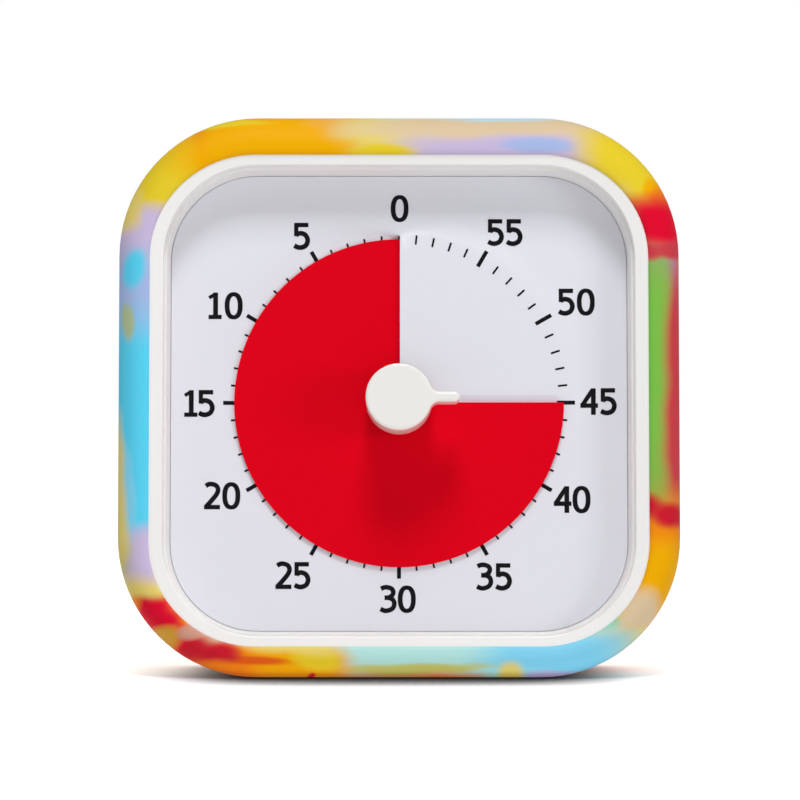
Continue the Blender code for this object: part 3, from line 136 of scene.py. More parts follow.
# %% [markdown]
# ## Writing materials as sums
# A material is a graph of nodes, and a graph written out node by node is hard to read. One small
# class holds a socket and lets Python's own operators add the Math nodes, so a mask can be written
# as `1 - speckle * 0.3`. Every other node comes from one method that sets the node's options first
# and then its sockets. Colours are blended by Mix nodes, because a Math node would turn them grey,
# and places are moved by Vector Math nodes, which have a method of their own.

# %% A socket that can be added and multiplied
class Socket:
    """One output of a node. + - * with numbers or other sockets add a Math node."""

    def __init__(self, tree, output):
        self.tree, self.output = tree, output

    def node(self, kind, settings=None, inputs=None, output=0):
        return add_node(self.tree, kind, settings, inputs, output)

    def maths(self, operation, first, second=0.0):
        return self.node("ShaderNodeMath", {"operation": operation}, {0: first, 1: second})

    def vector_maths(self, operation, first, second=(0.0, 0.0, 0.0), output=0):
        return self.node("ShaderNodeVectorMath", {"operation": operation}, {0: first, 1: second}, output)

    def __add__(self, other):
        return self.maths("ADD", self, other)

    def __mul__(self, other):
        return self.maths("MULTIPLY", self, other)

    def __sub__(self, other):
        return self.maths("SUBTRACT", self, other)

    def __rsub__(self, other):
        return self.maths("SUBTRACT", other, self)

    __radd__, __rmul__ = __add__, __mul__


def add_node(tree, kind, settings=None, inputs=None, output=0):
    """Adds a node: its settings first, ramp stops as (place, colour), then values or links."""
    node = tree.nodes.new(kind)
    for name, value in (settings or {}).items():
        if name == "stops":
            ramp = node.color_ramp
            while len(ramp.elements) < len(value):
                ramp.elements.new(1.0)
            for element, (place, colour) in zip(ramp.elements, value):
                element.position, element.color = place, (*colour, 1.0)
        else:
            setattr(node, name, value)
    for name, value in (inputs or {}).items():
        if isinstance(value, Socket):
            tree.links.new(value.output, node.inputs[name])
        else:
            node.inputs[name].default_value = value
    return Socket(tree, node.outputs[output])


# %% Blends, masks, places and noise
def mix_colour(factor, first, second):
    """First where the factor is 0 and second where it is 1."""
    first, second = [(*c, 1.0) if isinstance(c, tuple) and len(c) == 3 else c for c in (first, second)]
    tree = next(c.tree for c in (factor, first, second) if isinstance(c, Socket))
    return add_node(tree, "ShaderNodeMix", {"data_type": "RGBA"}, {0: factor, 6: first, 7: second}, 2)


def smooth_mask(value, start, end):
    """0 where the value is start, 1 where it is end, eased between."""
    settings = {"interpolation_type": "SMOOTHSTEP"}
    return value.node("ShaderNodeMapRange", settings, {0: value, 1: start, 2: end, 3: 0.0, 4: 1.0})


def face_millimetres(tree):
    """Object coordinates turned and scaled into the millimetres of the face."""
    here = add_node(tree, "ShaderNodeTexCoord", output="Object")
    upright = (math.pi / 2 - LEAN, 0.0, 0.0)
    inputs = {0: here, "Location": tuple(CENTRE), "Rotation": upright, "Scale": (MM, MM, MM)}
    return add_node(tree, "ShaderNodeMapping", {"vector_type": "TEXTURE"}, inputs)


def noise(vector, size, detail=3.0, roughness=0.5, output=0):
    """Smooth noise between 0 and 1 whose blotches are about size wide."""
    inputs = {"Vector": vector, "Scale": 1.0 / size, "Detail": detail, "Roughness": roughness}
    return vector.node("ShaderNodeTexNoise", None, inputs, output)


# %% Colours, finishes and bumps
def colour(hex_code):
    """Linear colour from a written one: each part to the power 2.4 above the short straight toe."""
    parts = np.array([int(hex_code[i:i + 2], 16) for i in (0, 2, 4)]) / 255.0
    linear = np.where(parts <= 0.04045, parts / 12.92, ((parts + 0.055) / 1.055) ** 2.4)
    return tuple(float(part) for part in linear)


def new_finish(name, **constants):
    """A material with a Principled BSDF; constants are set on its own sockets."""
    finish = bpy.data.materials.new(name)
    finish.use_nodes = True
    shader = finish.node_tree.nodes["Principled BSDF"]
    for socket, value in constants.items():
        shader.inputs[socket.replace("_", " ")].default_value = value
    return finish, finish.node_tree, shader


def feed(tree, shader, **links):
    """Links varying values to the shader's sockets."""
    for socket, value in links.items():
        tree.links.new(value.output, shader.inputs[socket.replace("_", " ")])


def bump(height, distance, strength=1.0):
    """Normal of a surface raised by height times distance, in millimetres."""
    inputs = {"Height": height, "Distance": distance * MM, "Strength": strength}
    return height.node("ShaderNodeBump", None, inputs)


print("the written grey 808080 is", round(colour("808080")[0], 3), "in linear light")

# %% [markdown]
# ## Plain moulded plastics and metals
# Most of the case and everything inside it is moulded plastic, steel, copper or board. A flat colour
# would look like plaster. Real mouldings have a fine etched grain that breaks up a highlight, and
# their tone drifts slightly over a few centimetres. Both come from one recipe: a drifting noise
# leads the colour between two close tones, and a fine noise feeds roughness and a bump.

# %% The recipe for mouldings
def moulded(name, tone, drift=0.04, rough=0.38, rough_swing=0.08, grain=0.16, raise_by=0.004, **constants):
    """Tone shaded by drifting noise, with an etched grain of grain mm, raised by raise_by mm."""
    finish, tree, shader = new_finish(name, **constants)
    place = face_millimetres(tree)
    broad, fine = noise(place, 14.0), noise(place, grain, 2.0)
    deep = tuple(part * (1.0 - drift) for part in tone)
    pale = tuple(min(1.0, part * (1.0 + drift * 0.5)) for part in tone)
    roughness = fine * rough_swing + (rough - rough_swing / 2)
    feed(tree, shader, Base_Color=mix_colour(broad, deep, pale), Roughness=roughness,
         Normal=bump(fine, raise_by, 0.5))
    return finish


BEZEL_WHITE = moulded("satin_white_moulding", colour("f3f2f0"), drift=0.015, rough=0.36)
CASE_WHITE = moulded("white_case_moulding", colour("ecebe8"), drift=0.02, rough=0.42)
KNOB_WHITE = moulded("soft_white_knob", colour("f0eeea"), drift=0.01, rough=0.12, rough_swing=0.04,
                     raise_by=0.0006)
GREY_PLASTIC = moulded("grey_switch_moulding", (0.12, 0.125, 0.135), rough=0.5)
GEAR_NYLON = moulded("pale_gear_nylon", (0.66, 0.65, 0.58), drift=0.06, rough=0.42)
ROTOR_BLACK = moulded("dark_rotor_nylon", (0.03, 0.03, 0.035), rough=0.45)
CHIP_BLACK = moulded("black_moulding", (0.02, 0.02, 0.022), rough=0.5)
STEEL = moulded("brushed_steel", (0.52, 0.53, 0.55), drift=0.08, rough=0.3, grain=0.3, Metallic=1.0)
print("mouldings made:", [m.name for m in bpy.data.materials if "moulding" in m.name])

# %% [markdown]
# ## Copper winding, circuit board and battery sleeve
# Three inner pieces have a pattern of their own. The coil is hundreds of turns of lacquered wire,
# which could be modelled as a tube, but a wave over the drum gives the same ribs for nothing. The
# board is green lacquer over copper tracks, drawn by a brick pattern, and the battery has a plain
# sleeve in two greys that change at a line across it.

# %% Copper winding
def wire_winding():
    """Copper whose bump is a wave along x, one ripple per 0.12 mm turn of wire."""
    finish, tree, shader = new_finish("lacquered_copper_wire", Metallic=1.0)
    place = face_millimetres(tree)
    ripple = place.node("ShaderNodeTexWave", {"bands_direction": "X"}, {"Vector": place, "Scale": 2.6}, "Fac")
    tint = mix_colour(noise(place, 1.6), (0.55, 0.2, 0.07), (0.78, 0.36, 0.16))
    feed(tree, shader, Base_Color=tint, Roughness=ripple * 0.2 + 0.22, Normal=bump(ripple, 0.03, 0.8))
    return finish


COPPER = wire_winding()


# %% Circuit board
def lacquered_board():
    """Green lacquer, paler where a brick pattern leaves its mortar as the tracks beneath."""
    finish, tree, shader = new_finish("green_board_lacquer", Coat_Weight=0.4)
    place = face_millimetres(tree)
    inputs = {"Vector": place, "Scale": 0.55, "Mortar Size": 0.08, "Color1": (0.01, 0.12, 0.05, 1.0),
              "Color2": (0.012, 0.16, 0.06, 1.0), "Mortar": (0.05, 0.32, 0.12, 1.0)}
    tracks = place.node("ShaderNodeTexBrick", None, inputs)
    grain = noise(place, 0.2)
    feed(tree, shader, Base_Color=tracks, Roughness=grain * 0.15 + 0.3, Normal=bump(grain, 0.004, 0.4))
    return finish


BOARD_GREEN = lacquered_board()

# %% Battery sleeve
SLEEVE_LINE = 10.0  # where x passes from the sleeve's dark length to its pale end


def battery_sleeve():
    """Grey sleeve with a paler end: the tint changes where x passes a line, with soft edges."""
    finish, tree, shader = new_finish("printed_battery_sleeve", Coat_Weight=0.5)
    place = face_millimetres(tree)
    along = place.node("ShaderNodeSeparateXYZ", None, {0: place}, "X")
    pale_end = smooth_mask(along, SLEEVE_LINE - 0.1, SLEEVE_LINE + 0.1)
    tint = mix_colour(pale_end, (0.16, 0.18, 0.2), (0.6, 0.62, 0.64))
    grain = noise(place, 0.3)
    feed(tree, shader, Base_Color=tint, Roughness=grain * 0.12 + 0.3, Normal=bump(grain, 0.003, 0.4))
    return finish


SLEEVE = battery_sleeve()
print("patterned finishes:", [finish.name for finish in (COPPER, BOARD_GREEN, SLEEVE)])

# %% [markdown]
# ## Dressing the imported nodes
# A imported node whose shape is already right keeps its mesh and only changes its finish. The pieces
# that show on the front are rebuilt further down with finer curves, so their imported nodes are
# replaced there. The table below goes from finish to nodes, which keeps every node's finish in one
# place and shows at once that none is forgotten.

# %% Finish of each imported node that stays
KEPT = {
    "rear_housing": CASE_WHITE, "battery_door": CASE_WHITE, "movement_plate": CASE_WHITE,
    "movement_case": CASE_WHITE, "sound_switch_cap": CHIP_BLACK, "sound_switch_body": GREY_PLASTIC,
    "alarm_cam": GEAR_NYLON, "centre_wheel": GEAR_NYLON, "third_wheel": GEAR_NYLON,
    "seconds_wheel": GEAR_NYLON, "step_wheel": GEAR_NYLON, "rotor": ROTOR_BLACK,
    "coil_winding": COPPER, "circuit_board": BOARD_GREEN, "control_chip": CHIP_BLACK,
    "buzzer": CHIP_BLACK, "battery": SLEEVE,
}
REBUILT = {"silicone_cover", "front_housing", "lens", "dial", "red_disc", "disc_edge_strip", "knob"}
for node_name, node in frame["nodes"].items():
    if node_name not in REBUILT:
        finish = KEPT.get(node_name, STEEL)
        node.data.materials.clear()
        node.data.materials.append(finish)
print("kept in steel:", sorted(n for n in frame["nodes"] if n not in KEPT and n not in REBUILT))

# %% [markdown]
# ## Shapes of the case
# Every outline of the case is a square with round corners, and all of them share the same four
# corner centres. So one outline differs from another only in how far it lies from those centres.
# That makes the cover, the bezel and the window one formula: a profile of half width and depth is
# carried round the corner centres. A modifier could round a box instead, but then the walls of one
# piece would not stay parallel to those of the next.

# %% Carrying a profile round the case
HALF = 45.0
COVER_CORNER = 22.3
CORNER_CENTRE = HALF - COVER_CORNER
WIDEST = 1.5  # depth of the cover's widest line
TAPER = math.tan(LEAN)


def corner_path(steps=20):
    """Corner centres and directions: for each quarter, angles from its start to its end."""
    angles = np.concatenate([np.linspace(q, q + 1, steps + 1) for q in range(4)]) * math.pi / 2
    signs = np.repeat(np.array([(1, 1), (-1, 1), (-1, -1), (1, -1)], dtype=float), steps + 1, axis=0)
    return signs * CORNER_CENTRE, np.stack([np.cos(angles), np.sin(angles)], axis=1)


def carried(profile, steps=20):
    """Point = corner centre + (half width - centre) times the direction, at the profile's depth.

    Where the profile has four columns, the third raises its row up the face and the fourth widens it by
    that share of its width.
    """
    profile = np.asarray(profile, dtype=float)
    centres, ways = corner_path(steps)
    flat = centres[None] + (profile[:, :1, None] - CORNER_CENTRE) * ways[None]
    if profile.shape[1] > 2:
        flat[..., 0] *= 1.0 + profile[:, 3:]
        flat[..., 1] += profile[:, 2:3]
    depth = np.broadcast_to(profile[:, 1, None, None], flat.shape[:2] + (1,))
    return np.concatenate([flat, depth], axis=2)


def arc(centre, radii, start, end, steps):
    """Points on an ellipse: centre + (radius times cosine, radius times sine) of each angle in degrees."""
    angles = np.radians(np.linspace(start, end, steps))
    return np.stack([centre[0] + radii[0] * np.cos(angles), centre[1] + radii[1] * np.sin(angles)], axis=1)


def outside_half(z):
    """Half width of the cover's outside: full at the widest line, and tapering by the lean behind it."""
    return HALF - max(0.0, WIDEST - z) * TAPER


print("half width at five depths:", [round(outside_half(z), 2) for z in (0.0, -8.0, -16.0, -24.0, -32.0)])

# %% [markdown]
# ## The marbled cover
# The cover is one piece of soft silicone, poured in swirled colours and stretched over the case. It
# rolls over the front edge like a tyre, hugs the sides, and ends in a lip on the back. Its section
# is closed: front roll, side, back roll, back lip and the inner wall that lies on the case. Cloth
# tools would be wrong here, because silicone 3 mm thick holds its moulded form.

# %% Section of the cover
COVER_WALL = 3.0
LIP = 39.5  # half width of the front opening
LIP_ROUND = (0.95, 0.5)
LIP_LOW = 4.1  # depth of the lip's underside
ROLL_CENTRE, ROLL_DEPTH = 40.3, 5.3
BEZEL_FRONT = 6.3
BACK, BACK_ROLL = -33.0, 4.0
BACK_LIP, BACK_LIP_ROUND, BACK_LIP_INSIDE = 33.0, 0.5, -30.6
INSIDE_CHAMFER = 1.35
COVER_LIFT = 0.9
LIP_WIDENING = 0.013


def cover_section():
    """Half width, depth, lift and widening, from the front lip round the outside to the inner wall.

    The outside sits higher than the face, so its lift grows from none at the lip to all of it. The
    lip is pulled a little wider than high, and this widening fades to none at the outside.
    """
    back_half = HALF - (WIDEST - BACK - BACK_ROLL) * TAPER - BACK_ROLL / math.cos(LEAN)
    lip_round = arc((ROLL_CENTRE, BEZEL_FRONT), LIP_ROUND, 180.0, 96.0, 9)
    front = arc((ROLL_CENTRE, WIDEST), (HALF - ROLL_CENTRE, ROLL_DEPTH), 90.0, 0.0, 24)
    back = arc((back_half, BACK + BACK_ROLL), (BACK_ROLL, BACK_ROLL), -math.degrees(LEAN), -90.0, 14)
    back_lip = arc((BACK_LIP + BACK_LIP_ROUND, BACK + BACK_LIP_ROUND), (BACK_LIP_ROUND, BACK_LIP_ROUND),
                   -90.0, -180.0, 5)
    chamfered = BACK_LIP_INSIDE + INSIDE_CHAMFER
    wide = outside_half(WIDEST) - COVER_WALL
    inner = [(BACK_LIP, BACK_LIP_INSIDE),
             (outside_half(BACK_LIP_INSIDE) - COVER_WALL - INSIDE_CHAMFER, BACK_LIP_INSIDE),
             (outside_half(chamfered) - COVER_WALL, chamfered),
             (wide, WIDEST), (wide, LIP_LOW), (LIP - 0.15, LIP_LOW)]
    rolled = np.concatenate([lip_round, front])
    out = np.clip((rolled[:, 0] - LIP) / (HALF - LIP), 0.0, 1.0)
    unlifted = len(back_lip) + len(inner)
    lift = np.concatenate([out, np.ones(len(back)), np.zeros(unlifted)]) * COVER_LIFT
    widening = np.concatenate([1.0 - out, np.zeros(len(back) + unlifted - 1), [1.0]]) * LIP_WIDENING
    section = np.concatenate([rolled, back, back_lip, np.array(inner)])
    return np.column_stack([section, lift, widening])


print("section of the cover has", len(cover_section()), "points")

# %% [markdown]
# ## Marbled silicone
# The colours of the cover are poured, not printed: soft patches run into one another along the
# band. A noise ramp alone gives a pattern that is alive but arbitrary. So the sides and the back use
# one, and the front adds a list of patches. A small patch is an ellipse on the face and a large one a
# box with round ends, and noise bends the edges of both. Each is the distance from its centre,
# measured in its own radii, turned into a soft mask.

# %% Poured colours and where they lie on the front
AMBER, YELLOW, ORANGE, FLAME = colour("f0ad00"), colour("e6cb2c"), colour("f08a12"), colour("e2601a")
RED, CRIMSON, MAROON, PINK = colour("e00a30"), colour("cc1c30"), colour("cc404a"), colour("cf9a86")
GREEN, OLIVE, STRAW = colour("78bf4a"), colour("c2c06a"), colour("e6d070")
SAGE, OCHRE = colour("aebf94"), colour("d6a43c")
SKY, CYAN, TEAL, PALE_BLUE = colour("84d4f0"), colour("5ad2f2"), colour("b4e4e0"), colour("bcdce8")
LAVENDER, PERIWINKLE, PEACH = colour("c8b9dc"), colour("a6b8e4"), colour("dcc4a0")

SMALL_PATCH = 45.0  # square millimetres
PATCH_FADED, PATCH_FULL = 1.95, 0.2  # distances, as worked out below, where a patch ends and is full
# Each patch: left, right, low and high edge in millimetres on the face, and its colour
PATCHES = [
    (-49, -35, -30, 30, CYAN), (36, 49, -18, 24, MAROON), (36, 49, -40, -16, AMBER),
    (-40, -22, -49, -36, ORANGE), (-12, 40, -49, -36, TEAL), (0, 40, 36, 49, PEACH),
    (34, 49, 28, 44, YELLOW), (-49, -34, 22, 44, YELLOW), (-41, -33, 34.5, 44, YELLOW),
    (-35, -5.5, 36, 47.5, AMBER), (-8.5, 7.5, 37.5, 47, STRAW), (-18, -7.5, 37, 42, AMBER),
    (-35.5, -21, 44, 45.5, YELLOW), (-5.5, 31.5, 42.5, 45.5, PEACH), (0.5, 31, 38, 42.5, LAVENDER),
    (17.5, 28.5, 39.5, 42, PERIWINKLE), (-7.5, 2, 38.5, 41, YELLOW), (0, 37, 45.5, 47.5, PALE_BLUE),
    (30, 44.5, 35.5, 44.5, YELLOW), (38.5, 41.5, 32, 35.5, AMBER), (40, 44.5, 30.5, 34.5, ORANGE),
    (35.5, 43, -16.5, 24.5, GREEN), (35, 48, 24, 32.5, RED), (40.5, 46, 22.5, 25, MAROON),
    (36, 41.5, 22, 24.5, MAROON), (36, 48, -25.5, -17.5, ORANGE), (41, 46, -20, -16, CRIMSON),
    (36, 42.5, -18.5, -14.5, CRIMSON), (35.5, 48, -34, -22.5, AMBER), (35.5, 41.5, -39, -31, PEACH),
    (30, 40.5, -43, -37, STRAW), (12.5, 37, -43.5, -37, SKY), (20, 29, -45.5, -43, LAVENDER),
    (16, 20, -46.5, -42, STRAW), (-10.5, 13.5, -42, -35.5, TEAL), (-9, 14, -43.5, -42, OLIVE),
    (-9, 12.5, -47, -43.5, ORANGE), (-30, -19, -47, -41, ORANGE), (-22.5, -8.5, -47, -39.5, AMBER),
    # The yellow patch from x -17 to -9.5, low on the front, is painted light: it lightens the amber where the
    # lamps light it less.
    (-17, -9.5, -43, -39.5, YELLOW), (-24.5, -10.5, -40.5, -36.5, STRAW), (-28.5, -18, -43, -41.5, FLAME),
    (-14.5, -13.5, -44.5, -43.5, RED), (-49, -35, -42, -28.5, ORANGE), (-40, -28.5, -49, -38, ORANGE),
    (-33.5, -23.5, -40, -37.5, PEACH), (-35, -29.5, -42, -38, CRIMSON), (-31.5, -25.5, -43, -39.5, CRIMSON),
    (-42.5, -36.5, -35.5, -29.5, RED), (-40, -34.5, -38, -33, RED), (-37, -32.5, -40, -36, RED),
    (-46, -41.5, -37, -28, ORANGE), (-37, -27, -47, -42.5, ORANGE), (-40.5, -34, -40, -36, OCHRE),
    (-34.5, -30.5, -38.5, -36, PINK), (-47.5, -35, 22.5, 31, LAVENDER), (-47.5, -41.5, 27.5, 35.5, STRAW),
    (-48.5, -36, 11, 23.5, PERIWINKLE), (-43.5, -40, 18.5, 23.5, CYAN),
    (-48.5, -36, -22, 12, CYAN), (-44.5, -42.5, 10.5, 16, SAGE), (-45, -42.5, -21.5, -7.5, SKY),
    (-48.5, -36, -30.5, -22.5, OLIVE), (-48.5, -36, -31, -27.5, STRAW), (-44, -36, -28.5, -20.5, LAVENDER),
    (-47.5, -44, -25.5, -3.5, STRAW),
]
print(len(PATCHES), "patches on the front")


# %% Silicone in those colours, and the cover
def shifted(place, noise_colour, far):
    """Place + (noise - 1/2) times far: how a pattern is bent."""
    centred = place.vector_maths("SUBTRACT", noise_colour, (0.5, 0.5, 0.5))
    return place.vector_maths("ADD", place, place.vector_maths("MULTIPLY", centred, (far, far, far)))


def marbled_silicone():
    """Noise ramp on the sides, blended on the front with soft patches whose edges noise has bent.

    Distance from a large patch = root of (x / radius)^4 + (y / radius)^4: a box with round ends.
    Distance from a small patch = (x / radius)^2 + (y / radius)^2: an ellipse.
    """
    finish, tree, shader = new_finish("marbled_silicone", Specular_IOR_Level=0.05)
    place = face_millimetres(tree)
    poured = shifted(place, noise(place, 15.0, 1.0, output="Color"), 26.0)
    drift = noise(poured, 32.0, 0.6)
    stops = [(0.30, RED), (0.37, ORANGE), (0.43, AMBER), (0.475, YELLOW), (0.505, PEACH), (0.535, LAVENDER),
             (0.57, SKY), (0.61, CYAN), (0.66, GREEN), (0.72, MAROON)]
    base = place.node("ShaderNodeValToRGB", {"stops": stops}, {0: drift})

    bent = shifted(place, noise(place, 14.0, 1.5, 0.4, output="Color"), 4.0)
    flat = place.vector_maths("MULTIPLY", bent, (1.0, 1.0, 0.0))
    front = base
    for left, right, low, high, tone in PATCHES:
        offset = place.vector_maths("SUBTRACT", flat, ((left + right) / 2, (low + high) / 2, 0.0))
        radii = place.vector_maths("DIVIDE", offset, ((right - left) / 2, (high - low) / 2, 1.0))
        if (right - left) * (high - low) < SMALL_PATCH:
            distance = place.vector_maths("DOT_PRODUCT", radii, radii, "Value")
        else:
            squares = place.vector_maths("MULTIPLY", radii, radii)
            distance = place.vector_maths("LENGTH", squares, output="Value")
        front = mix_colour(smooth_mask(distance, PATCH_FADED, PATCH_FULL), front, tone)
    depth = place.node("ShaderNodeSeparateXYZ", None, {0: place}, "Z")
    ahead = smooth_mask(depth + noise(place, 12.0, 1.0) * 14.0, -5.0, 8.0)
    grain = noise(place, 0.35, 2.0)
    feed(tree, shader, Base_Color=mix_colour(ahead, base, front), Roughness=grain * 0.1 + 0.46,
         Normal=bump(grain, 0.005, 0.4))
    return finish


cover_shell = shell(carried(cover_section()), wrap_rows=True)
make_piece("cover_skin", [cover_shell], marbled_silicone(), "case", ["silicone_cover"])

# %% [markdown]
# ## The white front housing
# Inside the cover sits a white moulding. Its front is a narrow bezel, then comes a rebate for the
# window, a drafted wall down to the dial, the seat that the dial lies on, and a channel behind.
# Screw bosses stand behind the seat. The ring is a closed section like the cover's, and a boss is a
# tube: a loop of radius and depth, turned about its own axis.

# %% Section of the housing
GAP = 0.3
HOUSING_WALL = 2.0
PARTING = -10.0  # depth where the rear housing takes over
SHOULDER, SHOULDER_ROUND = 3.8, 0.4  # under the cover's lip
OPENING, OPENING_ROUND = 37.7, 0.3  # half width of the window's opening, and its rounded edge
LEDGE = 4.0  # depth on which the window lies
DIAL_OPENING = 36.7
SEAT_INSIDE, SEAT_FRONT, SEAT_BACK = 34.3, -0.75, -2.75
CHANNEL, CHANNEL_END = 38.2, 2.2  # hollow between the drafted wall and the outside


def housing_section():
    """Half width and depth from the parting line up the outside, over the bezel, down to the seat."""
    outside, outside_back = [outside_half(z) - COVER_WALL - GAP for z in (WIDEST, PARTING)]
    bezel = LIP + 0.5
    section = [(outside_back, PARTING), (outside, WIDEST)]
    section += [*arc((outside - SHOULDER_ROUND, SHOULDER - SHOULDER_ROUND), (SHOULDER_ROUND, SHOULDER_ROUND),
                     0.0, 90.0, 4), (bezel, SHOULDER)]
    section += [*arc((bezel - 0.1, BEZEL_FRONT - 0.1), (0.1, 0.1), 0.0, 90.0, 4), (LIP - 0.4, BEZEL_FRONT)]
    section += [*arc((OPENING + OPENING_ROUND, BEZEL_FRONT - 0.72), (OPENING_ROUND, OPENING_ROUND),
                     75.0, 180.0, 7)]
    section += [(OPENING, 5.5), (OPENING, LEDGE + 0.05), (OPENING - 0.05, LEDGE), (OPENING - 0.4, LEDGE)]
    section += [(OPENING - 0.5, LEDGE - 0.1), (DIAL_OPENING, SEAT_FRONT + 0.05)]
    section += [(DIAL_OPENING - 0.05, SEAT_FRONT), (SEAT_INSIDE, SEAT_FRONT), (SEAT_INSIDE, SEAT_BACK)]
    section += [(CHANNEL, SEAT_BACK), (CHANNEL, CHANNEL_END)]
    section += [(outside - HOUSING_WALL, CHANNEL_END), (outside_back - HOUSING_WALL, PARTING)]
    return section


print("section of the housing has", len(housing_section()), "points")


# %% Tubes and bars
def full_turn(steps):
    """Even angles once round, without the last, which is the first again."""
    return np.linspace(0.0, 2 * math.pi, steps, endpoint=False)


def turned(at, profile, steps=32):
    """Point = axis + radius times (cosine, sine) of the turn, at the profile's depth."""
    angles = full_turn(steps)
    profile = np.asarray(profile, dtype=float)
    x = at[0] + profile[:, :1] * np.cos(angles)
    y = at[1] + profile[:, :1] * np.sin(angles)
    return np.stack([x, y, np.broadcast_to(profile[:, 1:], x.shape)], axis=2)


def tube(at, outer, inner, low, high):
    """Closed ring: outer wall up, over the rim, inner wall down."""
    return shell(turned(at, [(outer, low), (outer, high), (inner, high), (inner, low)]), wrap_rows=True)


def bar(start, end, half_width, low, high):
    """Upright plate from start to end on the face, as two rings of four corners."""
    start, end = np.array(start, dtype=float), np.array(end, dtype=float)
    side = np.array([start[1] - end[1], end[0] - start[0]]) / np.linalg.norm(end - start) * half_width
    ring = np.array([start - side, end - side, end + side, start + side])
    rings = [np.column_stack([ring, np.full(4, z)]) for z in (low, high)]
    return shell(rings, caps=True)


# %% The housing with its bosses, ribs and pads
BOSSES = [(27.0, 27.0, 4.2, 4.2), (18.0, -28.6, 0.0, -8.3)]  # x, y, and how far the rib reaches each way
BOSS_RADIUS, SCREW_HOLE, PAD_HOLE = 3.2, 1.55, 1.2
BOSS_TOP = SEAT_BACK - 0.05
RIB_HALF, RIB_LOW = 0.8, -4.7
PAD_X, PAD_LOW, PAD_TOP = 32.8, -3.0, -2.76

housing_shells = [shell(carried(housing_section()), wrap_rows=True)]
for side in (-1, 1):
    for x, y, reach_x, reach_y in BOSSES:
        housing_shells.append(tube((side * x, y), BOSS_RADIUS, SCREW_HOLE, PARTING, BOSS_TOP))
        rib_start = (side * (x + reach_x * 0.55), y + reach_y * 0.38)
        rib_end = (side * (x + reach_x), y + reach_y)
        housing_shells.append(bar(rib_start, rib_end, RIB_HALF, RIB_LOW, BOSS_TOP))
    housing_shells.append(tube((side * PAD_X, 0.0), BOSS_RADIUS, PAD_HOLE, PAD_LOW, PAD_TOP))
make_piece("bezel_frame", housing_shells, BEZEL_WHITE, "case", ["front_housing"])

# %% [markdown]
# ## The clear window
# The window is a flat sheet of clear plastic in the bezel's rebate, with a round hole for the knob.
# Glass would be the obvious material, but a refracting sheet darkens and shifts the dial beneath it
# and costs many light bounces. A thin sheet is better told as what the eye sees: clear, with a
# reflection that grows towards grazing angles. So its shader mixes see-through and gloss.

# %% Clear plastic
HEAD_ON = 0.032  # Fresnel's share in a square look
EDGE_GLOSS = 0.85


def clear_sheet(name, tint, share):
    """Transparent mixed with gloss: Fresnel less its head-on part, plus a share that is alike all over.

    Only faces turned towards the ray shine, because light leaves a flat sheet at the angle it came in.
    """
    finish, tree, shader = new_finish(name)
    fresnel = add_node(tree, "ShaderNodeFresnel", None, {"IOR": 1.42})
    clear = add_node(tree, "ShaderNodeBsdfTransparent", None, {"Color": (*tint, 1.0)})
    gloss = add_node(tree, "ShaderNodeBsdfGlossy", None, {"Color": (1.0, 1.0, 1.0, 1.0), "Roughness": 0.04})
    entering = 1.0 - add_node(tree, "ShaderNodeNewGeometry", output="Backfacing")
    edge_on = fresnel.maths("MAXIMUM", fresnel - HEAD_ON, 0.0)
    shine = (edge_on * EDGE_GLOSS + share) * entering
    mixed = add_node(tree, "ShaderNodeMixShader", None, {0: shine, 1: clear, 2: gloss})
    tree.nodes.remove(shader)
    tree.links.new(mixed.output, tree.nodes["Material Output"].inputs["Surface"])
    return finish


WINDOW_CLEAR = clear_sheet("clear_window_plastic", (0.995, 0.995, 0.995), 0.0)


# %% Window sheet: its outline shrinks to the hole
def reach_to_square(x, y, half):
    """Distance along the direction (x, y) to a round-cornered square of that half width."""
    x, y = np.abs(x), np.abs(y)
    straight = half / np.maximum(x, y)
    radius = half - CORNER_CENTRE
    along = CORNER_CENTRE * (x + y)
    root = np.sqrt(np.maximum(along ** 2 - 2 * CORNER_CENTRE ** 2 + radius ** 2, 0.0))
    return np.where(np.minimum(x, y) * straight <= CORNER_CENTRE, straight, along + root)


WINDOW_HALF, WINDOW_HOLE = 37.4, 5.6
WINDOW_LOW, WINDOW_TOP = LEDGE + GAP, 5.8


def window_sheet():
    """Loop from the hole out over the front, round the edge and back beneath, for each direction."""
    x, y = np.cos(full_turn(240)), np.sin(full_turn(240))
    edge = reach_to_square(x, y, WINDOW_HALF)
    # Share of the way from hole to edge, and depth
    stations = [(0.0, WINDOW_LOW), (0.0, WINDOW_TOP - 0.1), (0.02, WINDOW_TOP), (0.5, WINDOW_TOP),
                (0.997, WINDOW_TOP), (1.0, WINDOW_TOP - 0.1), (1.0, WINDOW_LOW)]
    rings = []
    for share, z in stations:
        reach = WINDOW_HOLE + (edge - WINDOW_HOLE) * share
        rings.append(np.stack([reach * x, reach * y, np.full_like(x, z)], axis=1))
    return shell(rings, wrap_rows=True)


make_piece("clear_window", [window_sheet()], WINDOW_CLEAR, "case", ["lens"])

# %% [markdown]
# ## The dial, a shallow screw
# The dial looks flat, yet the red disc dives through a slit at 12 o'clock. It can, because dial and
# disc share one shallow screw surface that climbs 1.2 mm a turn. The dial is a grid of radius by
# turn: inside it follows the ramp and is open at the slit, and past the slit its two ends ease into
# one flat sheet. The printed scale must lie on it, so the height is a function used by both.

# %% Height of the dial at any point
PITCH = 1.2
RAMP_END, SLIT_END, FLAT_FROM = 26.9, 27.9, 31.5
BLEND_TURNS = 0.035  # to each side of 12 o'clock, at the slit's end
BLEND_GROWS = 1.6  # times that width, at most
SLIT_HALF = 0.15


def eased(value):
    """3 v squared - 2 v cubed, with v held between 0 and 1."""
    value = np.clip(value, 0.0, 1.0)
    return value * value * (3.0 - 2.0 * value)


